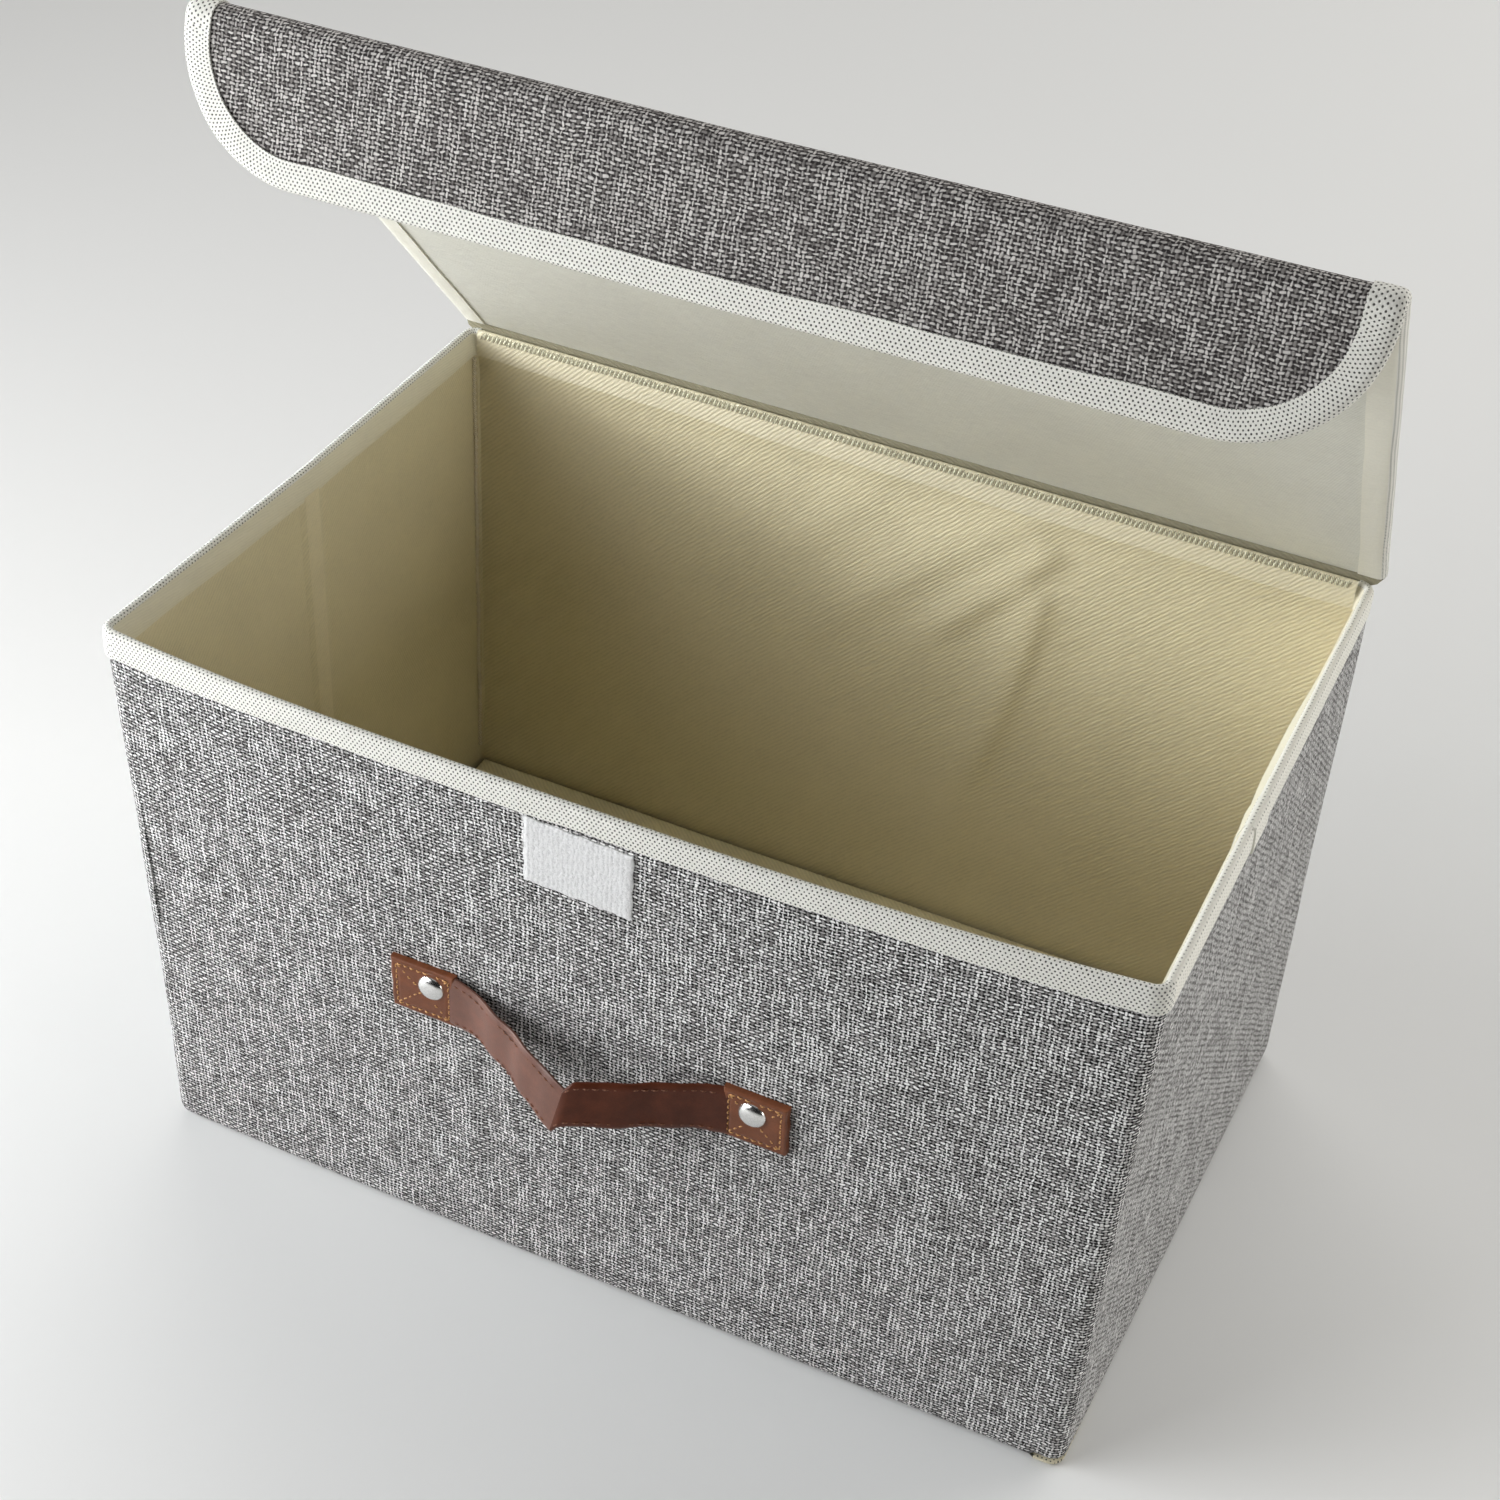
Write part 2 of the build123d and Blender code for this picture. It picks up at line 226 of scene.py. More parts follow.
def lining(name, tint, pitch=1.08, slope=0.80, depth=0.30, rib_tone=0.20, low=0.85, high=1.07):
    """Thin pressed cloth with a fine slanted rib, faint clouding and scattered paler flecks."""
    n = Nodes(name)
    u, v = n.uv()
    w = n.noise(n.vec(u, v, 2.0), 0.25, 2.0)
    s = n.m("ADD", n.m("MULTIPLY", u, math.cos(slope)), n.m("MULTIPLY", v, math.sin(slope)))
    s = n.m("ADD", s, n.m("MULTIPLY", w, 0.7))
    rib = n.m("SINE", n.m("MULTIPLY", s, 2 * math.pi / pitch))
    t = n.m("SUBTRACT", n.m("MULTIPLY", v, math.cos(slope)), n.m("MULTIPLY", u, math.sin(slope)))
    dash = n.noise(n.vec(n.m("MULTIPLY", s, 1.6), n.m("MULTIPLY", t, 0.35), 4.0), 1.0, 2.0, 0.6)
    cloud = n.noise(n.vec(u, v, 11.0), 0.045, 3.0)
    fleck = n.noise(n.vec(u, n.m("MULTIPLY", v, 2.6), 17.0), 0.75, 3.0, 0.65)
    k = n.m("ADD", n.m("MULTIPLY", rib, rib_tone), n.m("MULTIPLY", n.m("SUBTRACT", dash, 0.5), 0.5))
    k = n.m("ADD", k, n.m("MULTIPLY", n.m("SUBTRACT", cloud, 0.5), 0.45))
    k = n.m("ADD", n.m("ADD", k, n.m("MULTIPLY", n.m("SUBTRACT", fleck, 0.5), 0.4)), 0.5)
    lo = tuple(c * low for c in tint)
    hi = tuple(min(0.95, c * high) for c in tint)
    col = n.ramp(k, [(0.15, lo), (0.5, tint), (0.85, hi)])
    n.bump(n.m("ADD", n.m("MULTIPLY", rib, 0.5), n.m("MULTIPLY", dash, 1.2)), depth, 0.0003)
    return n.set(Base_Color=col, Roughness=0.82, Specular_IOR_Level=0.25, Sheen_Weight=0.05)


def tape(name, tint=(0.82, 0.808, 0.750), du=1.12, dv=0.82, r0=0.14, r1=0.27, hole=(0.06, 0.058, 0.05)):
    """Pressed non-woven tape: staggered rows of small pits between raised pale fibres."""
    n = Nodes(name)
    u, v = n.uv()
    row = n.m("DIVIDE", v, dv)
    ir = n.m("FLOOR", row)
    au = n.m("ADD", n.m("DIVIDE", u, du), n.m("MULTIPLY", n.m("FLOORED_MODULO", ir, 2.0), 0.5))
    fu = n.m("MULTIPLY", n.m("SUBTRACT", n.m("FRACT", au), 0.5), du)
    fv = n.m("MULTIPLY", n.m("SUBTRACT", n.m("FRACT", row), 0.5), dv)
    r2 = n.m("ADD", n.m("MULTIPLY", fu, fu), n.m("MULTIPLY", n.m("MULTIPLY", fv, fv), 0.85))
    r = n.m("SQRT", r2)
    wob = n.noise(n.vec(u, v, 3.0), 0.9, 2.0)
    r = n.m("ADD", r, n.m("MULTIPLY", n.m("SUBTRACT", wob, 0.5), 0.16))
    pit = n.rng(r, r0, r1, 1.0, 0.0, True)
    fibre = n.noise(n.vec(u, n.m("MULTIPLY", v, 1.7), 6.0), 1.6, 3.0, 0.7)
    pale = n.ramp(fibre, [(0.25, tuple(c * 0.86 for c in tint)), (0.6, tint), (0.8, tuple(min(.93, c * 1.08) for c in tint))])
    col = n.mix(pit, pale, hole)
    n.bump(n.m("SUBTRACT", n.m("MULTIPLY", fibre, 0.5), pit), 0.5, 0.0003)
    return n.set(Base_Color=col, Roughness=0.74, Specular_IOR_Level=0.3)


def leather(name, tint=(0.092, 0.025, 0.0105), spec=0.5):
    """Coated brown strap: fine pebble grain, slightly worn and paler towards its high spots."""
    n = Nodes(name)
    u, v = n.uv()
    g = n.noise(n.vec(u, v, 1.0), 2.6, 3.0, 0.6)
    c = n.noise(n.vec(u, v, 8.0), 0.20, 3.0, 0.6)
    k = n.m("ADD", n.m("MULTIPLY", g, 0.35), n.m("MULTIPLY", c, 0.65))
    col = n.ramp(k, [(0.28, tuple(x * 0.72 for x in tint)), (0.5, tint), (0.75, tuple(x * 1.45 for x in tint))])
    n.bump(g, 0.16, 0.0002)
    rough = n.rng(c, 0.3, 0.7, 0.30, 0.40)
    return n.set(Base_Color=col, Roughness=rough, Specular_IOR_Level=spec)


def thread(name, tint):
    n = Nodes(name)
    u, v = n.uv()
    tw = n.m("SINE", n.m("ADD", n.m("MULTIPLY", u, 9.0), n.m("MULTIPLY", v, 6.0)))
    col = n.ramp(n.rng(tw, -1.0, 1.0, 0.0, 1.0), [(0.0, tuple(c * 0.6 for c in tint)), (1.0, tuple(min(1, c * 1.2) for c in tint))])
    n.bump(tw, 0.3, 0.0001)
    return n.set(Base_Color=col, Roughness=0.62)


def metal(name):
    n = Nodes(name)
    u, v = n.uv()
    s = n.noise(n.vec(u, v, 1.0), 2.2, 3.0, 0.6)
    col = n.ramp(s, [(0.3, (0.66, 0.655, 0.64)), (0.7, (0.86, 0.855, 0.84))])
    return n.set(Base_Color=col, Metallic=1.0, Roughness=n.rng(s, 0.3, 0.7, 0.16, 0.27))


def loops(name, tint=(0.865, 0.862, 0.862)):
    """Brushed fastener cloth: short white pile in loose upright rows."""
    n = Nodes(name)
    u, v = n.uv()
    rows = n.m("SINE", n.m("MULTIPLY", n.m("ADD", u, n.m("MULTIPLY", n.noise(n.vec(u, v, 2.0), 0.5, 2.0), 1.4)), 2 * math.pi / 1.25))
    pile = n.noise(n.vec(n.m("MULTIPLY", u, 1.5), v, 4.0), 1.9, 4.0, 0.75)
    k = n.m("ADD", n.m("MULTIPLY", rows, 0.09), pile)
    col = n.ramp(k, [(0.30, tuple(c * 0.68 for c in tint)), (0.5, tuple(c * 0.93 for c in tint)), (0.7, tuple(min(.95, c * 1.06) for c in tint))])
    n.bump(k, 0.7, 0.0005)
    return n.set(Base_Color=col, Roughness=0.9, Specular_IOR_Level=0.2, Sheen_Weight=0.25)


def card(name):
    n = Nodes(name)
    u, v = n.uv()
    f = n.noise(n.vec(u, v, 1.0), 0.8, 4.0, 0.7)
    col = n.ramp(f, [(0.3, (0.30, 0.27, 0.22)), (0.7, (0.42, 0.385, 0.32))])
    n.bump(f, 0.2, 0.0002)
    return n.set(Base_Color=col, Roughness=0.9)


M_LINEN = linen("linen_grey")
# the flap and its ridge are the lid's grey linen, darkened and warmed here with paler gaps: painted shade
SHADED_LINEN_FLAP_MAT = linen("linen_grey_flap_painted_shade", (0.69, 0.665, 0.645), (0.030, 0.026, 0.0255))
M_LINING = lining("lining_cream", (0.705, 0.632, 0.432), rib_tone=0.15)
# a paler copy of the cream lining for the floor cover: painted light, so the floor reads brighter than the walls
LIT_FLOOR_CLOTH_MAT = lining("floor_cream_painted_light", (0.840, 0.765, 0.545), rib_tone=0.15)
M_LINING_TOP = lining("lining_top", (0.750, 0.685, 0.505), rib_tone=0.15)
M_LINING_PALE = lining("lining_pressed", (0.770, 0.690, 0.490), rib_tone=0.06, low=0.80)
M_LIDLIN = lining("lining_ivory", (0.728, 0.721, 0.648), pitch=0.95, slope=1.25, depth=0.5, rib_tone=0.22, low=0.84, high=1.08)
# dark olive cloth for the strip in the hinge crease: painted shade for the deep shadow there
CREASE_SHADE_MAT = lining("crease_olive_painted_shade", (0.27, 0.245, 0.165), pitch=0.80, slope=1.25, depth=0.3, rib_tone=0.10, low=0.80, high=1.15)
M_EDGE = lining("edge_cream", (0.76, 0.715, 0.57), pitch=0.70, slope=1.45, depth=0.2, rib_tone=0.12, low=0.90)
M_EDGE_IVORY = lining("edge_ivory", (0.81, 0.79, 0.695), pitch=0.75, slope=0.05, depth=0.25, rib_tone=0.12, low=0.90)
M_TAPE = tape("tape_offwhite")
M_TAPE_FINE = tape("tape_offwhite_fine", (0.83, 0.815, 0.745), 1.30, 1.45, 0.10, 0.26, (0.20, 0.19, 0.165))
M_TAPE_IN = tape("tape_cream", (0.72, 0.66, 0.49))
# the strap is one leather: its left half gets a paler, glossier copy (painted sheen) and its right half a darker,
# duller copy (painted shade)
SHEEN_STRAP_MAT = leather("brown_strap_painted_sheen", (0.135, 0.050, 0.030), 0.58)
SHADED_STRAP_MAT = leather("brown_strap_painted_shade", (0.082, 0.021, 0.0085), 0.2)
M_TAB = leather("tab_brown", (0.152, 0.046, 0.016), 0.36)
M_THREAD = thread("thread_tan", (0.60, 0.31, 0.11))
M_THREAD_BROWN = thread("thread_brown", (0.17, 0.055, 0.020))
# dark olive thread: painted shade between the pale hinge stitches
SHADE_STITCH_THREAD_MAT = thread("thread_olive_painted_shade", (0.42, 0.385, 0.265))
M_THREAD_PALE = thread("thread_pale", (0.80, 0.72, 0.57))
M_THREAD_CREAM = thread("thread_cream", (0.70, 0.665, 0.50))
M_METAL = metal("rivet_metal")
M_LOOP = loops("loop_white")
M_HOOK = loops("hook_white", (0.78, 0.785, 0.80))
M_CARD = card("board_card")

# ------------------------------------------------------------------ mesh tools
PIECES = {}


def make(name, verts, faces, uvs, mats, face_mat=None, smooth=True, sharp=None):
    """A mesh from points in mm; uvs are one pair per point, in mm of cloth."""
    me = bpy.data.meshes.new(name)
    verts = np.asarray(verts, float) * 0.001
    me.from_pydata([tuple(p) for p in verts], [], [tuple(int(i) for i in f) for f in faces])
    uvs = np.asarray(uvs, float)
    layer = me.uv_layers.new(name="cloth")
    idx = np.empty(len(me.loops), dtype=np.int32)
    me.loops.foreach_get("vertex_index", idx)
    layer.data.foreach_set("uv", uvs[idx].ravel().astype(np.float32))
    for m in (mats if isinstance(mats, (list, tuple)) else [mats]):
        me.materials.append(m)
    if face_mat is not None:
        me.polygons.foreach_set("material_index", np.asarray(face_mat, dtype=np.int32))
    me.polygons.foreach_set("use_smooth", np.ones(len(me.polygons), dtype=bool) if smooth else np.zeros(len(me.polygons), dtype=bool))
    bm = bmesh.new()
    bm.from_mesh(me)
    bmesh.ops.recalc_face_normals(bm, faces=bm.faces)
    if sharp is not None:
        for e in bm.edges:
            if len(e.link_faces) == 2 and e.calc_face_angle(0) > sharp:
                e.smooth = False
    bm.to_mesh(me)
    bm.free()
    me.update()
    ob = bpy.data.objects.new(name, me)
    bpy.context.scene.collection.objects.link(ob)
    PIECES[name] = ob
    return ob


def quads(n, m, base=0, close_m=False):
    out = []
    mm = m if close_m else m - 1
    for i in range(n - 1):
        for j in range(mm):
            k = (j + 1) % m
            out.append((base + i * m + j, base + i * m + k, base + (i + 1) * m + k, base + (i + 1) * m + j))
    return out


def rim_quads(n, m, lo, hi):
    """Closes the edges between two n by m grids."""
    loop = [(0, j) for j in range(m)] + [(i, m - 1) for i in range(1, n)] + [(n - 1, j) for j in range(m - 2, -1, -1)] + [(i, 0) for i in range(n - 2, 0, -1)]
    out = []
    for a, b in zip(loop, loop[1:] + loop[:1]):
        ia, ib = a[0] * m + a[1], b[0] * m + b[1]
        out.append((lo + ia, lo + ib, hi + ib, hi + ia))
    return out


def slab(name, top, bot, uv, mat, mat_bot=None, sharp=math.radians(50)):
    """A closed thin sheet between two grids of points."""
    n, m = top.shape[:2]
    v = np.concatenate([top.reshape(-1, 3), bot.reshape(-1, 3)])
    fa, fb, fr = quads(n, m), quads(n, m, n * m), rim_quads(n, m, 0, n * m)
    mats = [mat] if mat_bot is None else [mat, mat_bot]
    fm = [0] * len(fa) + [0 if mat_bot is None else 1] * len(fb) + [0] * len(fr)
    uv = uv.reshape(-1, 2)
    return make(name, v, fa + fb + fr, np.concatenate([uv, uv]), mats, fm, True, sharp)


def normals(P):
    du = np.gradient(P, axis=1)
    dv = np.gradient(P, axis=0)
    n = np.cross(du, dv)
    return n / np.maximum(np.linalg.norm(n, axis=2, keepdims=True), 1e-9)


def sweep(name, rings, uv, mats, face_mat=None, closed=False, sharp=math.radians(60)):
    """A tube through closed rings of points, capped at both ends."""
    n, m = rings.shape[:2]
    v = rings.reshape(-1, 3)
    f = quads(n, m, 0, True)
    fm = [0] * len(f)
    if not closed:
        f += [tuple(range(m))[::-1], tuple(range((n - 1) * m, n * m))]
        fm += [0, 0]
    return make(name, v, f, uv.reshape(-1, 2), mats, fm if face_mat is None else face_mat, True, sharp)


def merge(name, parts):
    """Joins several (verts, faces, uvs, material index) sets into one set."""
    V, F, U, K, base = [], [], [], [], 0
    for v, f, u, k in parts:
        V.append(np.asarray(v, float))
        U.append(np.asarray(u, float))
        F += [tuple(base + i for i in x) for x in f]
        K += [k] * len(f)
        base += len(v)
    return np.concatenate(V), F, np.concatenate(U), K


def stitch(p, q, n, width=0.55, rise=0.35, dip=0.25):
    """One sewn stitch from p to q lying on a surface with normal n: a small rounded bead, its ends sunk in."""
    p, q, n = (np.asarray(x, float) for x in (p, q, n))
    d = q - p
    L = np.linalg.norm(d)
    d = d / L
    s = np.cross(n, d)
    s /= np.linalg.norm(s)
    nn, mm = 6, 6
    V, U = [], []
    for i in range(nn):
        t = i / (nn - 1)
        env = math.sin(math.pi * (0.10 + 0.80 * t)) ** 0.6
        c = p + d * L * t + n * (rise * math.sin(math.pi * t) - dip * (1 - math.sin(math.pi * t)))
        for j in range(mm):
            a = 2 * math.pi * j / mm
            V.append(c + (s * math.cos(a) * width * 0.5 + n * math.sin(a) * width * 0.42) * env)
            U.append((t * L, j / mm * width * 3))
    F = quads(nn, mm, 0, True) + [tuple(range(mm))[::-1], tuple(range((nn - 1) * mm, nn * mm))]
    return np.array(V), F, np.array(U)


def wave(a, b, seed=0.0):
    """A smooth gentle unevenness in about -1..1."""
    return (0.42 * np.sin(0.047 * a + 0.031 * b + 1.3 + seed) + 0.30 * np.sin(0.093 * a - 0.061 * b + 2.1 + 1.7 * seed)
            + 0.18 * np.sin(0.021 * a + 0.113 * b + 0.4 - seed) + 0.10 * np.sin(0.190 * a + 0.147 * b + 3.0 + 2.3 * seed))


def smooth01(t):
    t = np.clip(t, 0, 1)
    return t * t * (3 - 2 * t)


# ------------------------------------------------------------------ wall outline
# The bin's outside at any height is a rounded rectangle whose front bows outwards
# towards the rim and whose foot draws in slightly at the front corners.
RC = 4.0
N_LONG, N_ARC = 161, 9
Y_SIDE = np.array(sorted(set(np.round(np.concatenate([np.linspace(-80, 80, 41), [-8, -6, -4.5, -3, -1.5, -0.6, 0, 0.6, 1.5, 3, 4.5, 6, 8]]), 3))))


def half_right(y, z):
    k = 1 - z / H
    f = np.clip((D2 - y) / (2 * D2), 0, 1)
    return W2 + k * (1.2 * (1 - f) - 3.0 * f)


def half_left(y, z):
    k = 1 - z / H
    f = np.clip(-np.asarray(y) / D2, 0, 1.05)
    return -W2 - 2.8 * (z / H) ** 2 * f ** 1.2 + 1.2 * k * np.clip((64 - np.asarray(y)) / 84, 0, 1)


def front_y(t, z):
    """Outside of the front wall; t runs from -1 to 1 across it."""
    k = z / H
    bow = 0.7 + 3.5 * k ** 1.5
    end = np.abs(t) ** np.where(np.asarray(t) < 0, 3.6, 2.4)
    drawn = np.where(np.asarray(t) < 0, 0.9 * k ** 1.5, 0.0)
    return -(D2 - 1.8 * (1 - k)) - bow * (1 - end) - drawn * end


def bezier(p0, p1, p2, p3, t):
    t = t[:, None]
    return (1 - t) ** 3 * p0 + 3 * (1 - t) ** 2 * t * p1 + 3 * (1 - t) * t ** 2 * p2 + t ** 3 * p3


SEG = {}


def outline(z):
    k = z / H
    yl0, yr0 = front_y(np.array([-1.0, 1.0]), z)
    t = np.linspace(-1, 1, N_LONG)
    xl, xr = half_left(yl0, z) + RC, half_right(yr0, z) - RC
    x = xl + (t + 1) / 2 * (xr - xl)
    front = np.stack([x, front_y(t, z)], 1)
    ys = np.where(Y_SIDE < 0, Y_SIDE * (abs(yr0) - RC) / (D2 - RC), Y_SIDE)
    right = np.stack([half_right(ys, z), ys], 1)
    xb0, xb1 = half_right(D2, z) - RC, half_left(D2, z) + RC
    back = np.stack([np.linspace(xb0, xb1, N_LONG), np.full(N_LONG, D2)], 1)
    yl = np.where(Y_SIDE < 0, Y_SIDE * (abs(yl0) - RC) / (D2 - RC), Y_SIDE)[::-1]
    left = np.stack([half_left(yl, z), yl], 1)
    sides = [front, right, back, left]
    pts, i = [], 0
    names = ["front", "FR", "right", "BR", "back", "BL", "left", "FL"]
    for s in range(4):
        a, b = sides[s], sides[(s + 1) % 4]
        SEG[names[2 * s]] = (i, i + len(a))
        pts.append(a)
        i += len(a)
        ta, tb = a[-1] - a[-2], b[1] - b[0]
        ta, tb = ta / np.linalg.norm(ta), tb / np.linalg.norm(tb)
        q = bezier(a[-1], a[-1] + ta * RC * 0.56, b[0] - tb * RC * 0.56, b[0], np.linspace(0, 1, N_ARC + 2)[1:-1])
        SEG[names[2 * s + 1]] = (i - 1, i + N_ARC + 1)
        pts.append(q)
        i += N_ARC
    pts.append(front[:1])
    return np.concatenate(pts)


def shell(zs):
    return np.stack([np.concatenate([o, np.full((len(o), 1), z)], 1) for z in zs for o in [outline(z)]])


def ring_normals(P):
    """Outward normals of a closed wall grid (last column repeats the first)."""
    du = np.empty_like(P)
    du[:, 1:-1] = P[:, 2:] - P[:, :-2]
    du[:, 0] = du[:, -1] = P[:, 1] - P[:, -2]
    dv = np.gradient(P, axis=0)
    n = np.cross(du, dv)
    return n / np.maximum(np.linalg.norm(n, axis=2, keepdims=True), 1e-9)


_mid = outline(90.0)
U_COL = np.concatenate([[0], np.cumsum(np.linalg.norm(np.diff(_mid, axis=0), axis=1))])
Z_OUT = np.concatenate([[WALL_Z0, 16.0, 17.5], np.linspace(20, 153, 40), [154.6, 156.0]])
S_OUT = shell(Z_OUT)
N_OUT = ring_normals(S_OUT)


def cloth_wave(U, Z):
    """Soft unevenness of the outer cloth, dying away at its foot and rim."""
    env = np.clip((Z - WALL_Z0) / 22, 0, 1) * np.clip((158 - Z) / 20, 0, 1)
    low = np.exp(-((Z - 44) / 24) ** 2) * np.exp(-((U - 96) / 40) ** 2)
    return 0.34 * env * wave(U, Z, 0.6) + 0.30 * env * low * np.sin(U * 2 * math.pi / 13.0 + 0.02 * Z + 0.8)


UU, ZZ = np.meshgrid(U_COL, Z_OUT)
S_OUT = S_OUT + N_OUT * cloth_wave(UU, ZZ)[..., None]
UV_OUT = np.stack([UU + 40, ZZ + 40], -1)


def cols_between(side, y0, y1):
    """Column range of a side wall between two depths."""
    a, b = SEG[side]
    ys = Y_SIDE if side == "right" else Y_SIDE[::-1]
    lo, hi = min(y0, y1), max(y0, y1)
    idx = [a + i for i, y in enumerate(ys) if lo - 1e-6 <= y <= hi + 1e-6]
    return idx[0], idx[-1] + 1


def split(mid):
    """Column ranges of the pieces of one layer, with the side creases mid wide each way."""
    return {
        "front": SEG["front"],
        "corner_fr": SEG["FR"],
        "right_front": cols_between("right", -80, -mid),
        "right_mid": cols_between("right", -mid, mid),
        "right_rear": cols_between("right", mid, 80),
        "corner_br": SEG["BR"],
        "back": SEG["back"],
        "corner_bl": SEG["BL"],
        "left_rear": cols_between("left", 80, mid),
        "left_mid": cols_between("left", mid, -mid),
        "left_front": cols_between("left", -mid, -80),
        "corner_fl": SEG["FL"],
    }


M = 0.001
RIDES = {
    "front": "front_wall", "right_front": "right_front", "right_rear": "right_rear", "back": "back_wall",
    "left_rear": "left_rear", "left_front": "left_front",
}
BENDS = {
    "corner_fr": ("front_wall", "right_front", (126.5, -83.5), (129.5, -80.5)),
    "corner_fl": ("left_front", "front_wall", (-130.0, -80.5), (-127.2, -83.3)),
    "corner_br": ("back_wall", "right_rear", (126.5, 83.5), (129.5, 80.5)),
    "corner_bl": ("back_wall", "left_rear", (-126.5, 83.5), (-129.5, 80.5)),
    "left_mid": ("left_rear", "left_front", None, None),
}


def attach(ob, seg, mid):
    """Fixes a wall piece to the wall it belongs to; a piece between two walls only has its transform baked where it is.
    """
    if seg in RIDES:
        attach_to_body(ob, RIDES[seg])
    elif seg == "right_mid":
        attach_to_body(ob, "right_front")
    else:
        a, b, p, q = BENDS[seg]
        if p is None:
            p, q = (-129.0, mid), (-129.0, -mid)
        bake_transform(ob)


def layer(tag, S, B, UV, mid, mat, slot, sharp=math.radians(50), rows=None):
    out = {}
    for seg, (a, b) in split(mid).items():
        if seg == "right_mid":
            for half, (c, d), body in (("right_mid_front", cols_between("right", -mid, 0), "right_front"), ("right_mid_rear", cols_between("right", 0, mid), "right_rear")):
                ob = slab(f"{tag}_{half}", S[:, c:d], B[:, c:d], UV[:, c:d], mat, None, sharp)
                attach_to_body(ob, body)
                out[half] = ob
            continue
        r = rows(seg) if rows else slice(None)
        ob = slab(f"{tag}_{seg}", S[r, a:b], B[r, a:b], UV[r, a:b], mat, None, sharp)
        attach(ob, seg, mid)
        out[seg] = ob
    return out


# ---------------------------------------------------------------- outer cloth
OUTER = layer("outer", S_OUT, S_OUT - N_OUT * T_OUT, UV_OUT, 1.5, M_LINEN, "outer_cloth")

# ------------------------------------------------------------------ board core
Z_BRD = np.array([15.8, 40, 70, 100, 130, 150, 158.4])
S_BRD = shell(Z_BRD)
N_BRD = ring_normals(S_BRD)
UB, ZB = np.meshgrid(U_COL, Z_BRD)
for seg, (a, b) in split(3.0).items():
    if seg in RIDES:
        deep = 1.2 if seg == "back" else 2.3
        ob = slab(f"board_{seg}", S_BRD[:, a:b] - N_BRD[:, a:b] * 0.86, S_BRD[:, a:b] - N_BRD[:, a:b] * deep, np.stack([UB, ZB], -1)[:, a:b], M_CARD)
        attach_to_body(ob, RIDES[seg])

# --------------------------------------------------------------------- lining
Z_LIN = np.concatenate([[WALL_Z0], np.linspace(17.5, 156, 92)])
S_LIN = shell(Z_LIN)
N_LIN = ring_normals(S_LIN)
UL, ZL = np.meshgrid(U_COL, Z_LIN)
PX, PY = S_LIN[..., 0], S_LIN[..., 1]


def fold_line(px, pz, pts, w_left, w_right, height, fade=0.22, fade_end=None):
    """A crease along a bent line on a wall seen as (across, up), gentle on one side of it and steep on the other."""
    best = np.full(px.shape, 1e9)
    side = np.zeros(px.shape)
    along = np.zeros(px.shape)
    P = np.array(pts, float)
    L = np.concatenate([[0], np.cumsum(np.linalg.norm(np.diff(P, axis=0), axis=1))])
    for k in range(len(P) - 1):
        a, b = P[k], P[k + 1]
        d = b - a
        n = np.linalg.norm(d)
        t = np.clip(((px - a[0]) * d[0] + (pz - a[1]) * d[1]) / n ** 2, 0, 1)
        qx, qz = px - (a[0] + t * d[0]), pz - (a[1] + t * d[1])
        r = np.hypot(qx, qz)
        near = r < best
        best = np.where(near, r, best)
        side = np.where(near, np.sign(qx * -d[1] + qz * d[0]), side)
        along = np.where(near, (L[k] + t * n) / L[-1], along)
    w = np.where(side > 0, w_right, w_left)
    env = smooth01(along / fade) * smooth01((1 - along) / (fade_end or fade))
    return height * env * np.exp(-(best / w) ** 2)


back_cols = np.zeros(len(U_COL), bool)
back_cols[SEG["back"][0]:SEG["back"][1]] = True
left_cols = np.zeros(len(U_COL), bool)
left_cols[SEG["left"][0]:SEG["left"][1]] = True
inner = 0.10 * wave(UL, ZL, 2.2) * np.clip((156 - ZL) / 12, 0, 1)
crease_b = -0.95 + fold_line(PX, ZL, [(49, 162), (34, 149), (14, 131), (-9, 109), (-32, 84)], 10.0, 5.5, 1.0, 0.10, 0.5)
crease_b = crease_b + fold_line(PX, ZL, [(50, 149), (37, 132), (22, 115), (5, 93)], 8.0, 3.5, 1.30, 0.10, 0.55)
crease_b = crease_b + fold_line(PX, ZL, [(47, 137), (44, 117), (40, 96), (34, 70), (30, 50)], 8.5, 3.3, 1.35, 0.12, 0.35)
crease_b = crease_b + fold_line(PX, ZL, [(31, 60), (31, 36), (33, 14)], 4.0, 3.0, 0.50)
crease_b = crease_b + fold_line(PX, ZL, [(3, 153), (-16, 137), (-36, 112)], 9.0, 6.0, 0.45, 0.25, 0.5)
crease_b = crease_b + fold_line(PX, ZL, [(27, 70), (25, 42), (26, 14)], 5.0, 4.0, 0.45)
crease_b = crease_b + fold_line(PX, ZL, [(106, 128), (94, 86), (86, 44)], 13.0, 11.0, 0.30)
crease_b = crease_b - fold_line(PX, ZL, [(62, 132), (57, 100), (48, 66)], 6.0, 9.0, 0.28)
crease_b = np.clip(crease_b, -1.3, 0.32)
edge_b = np.clip((ZL - WALL_Z0) / 10, 0, 1) * np.clip((156 - ZL) / 6, 0, 1)
inner = np.where(back_cols[None, :], crease_b * edge_b + 0.05 * wave(UL, ZL, 2.2) * edge_b, inner)
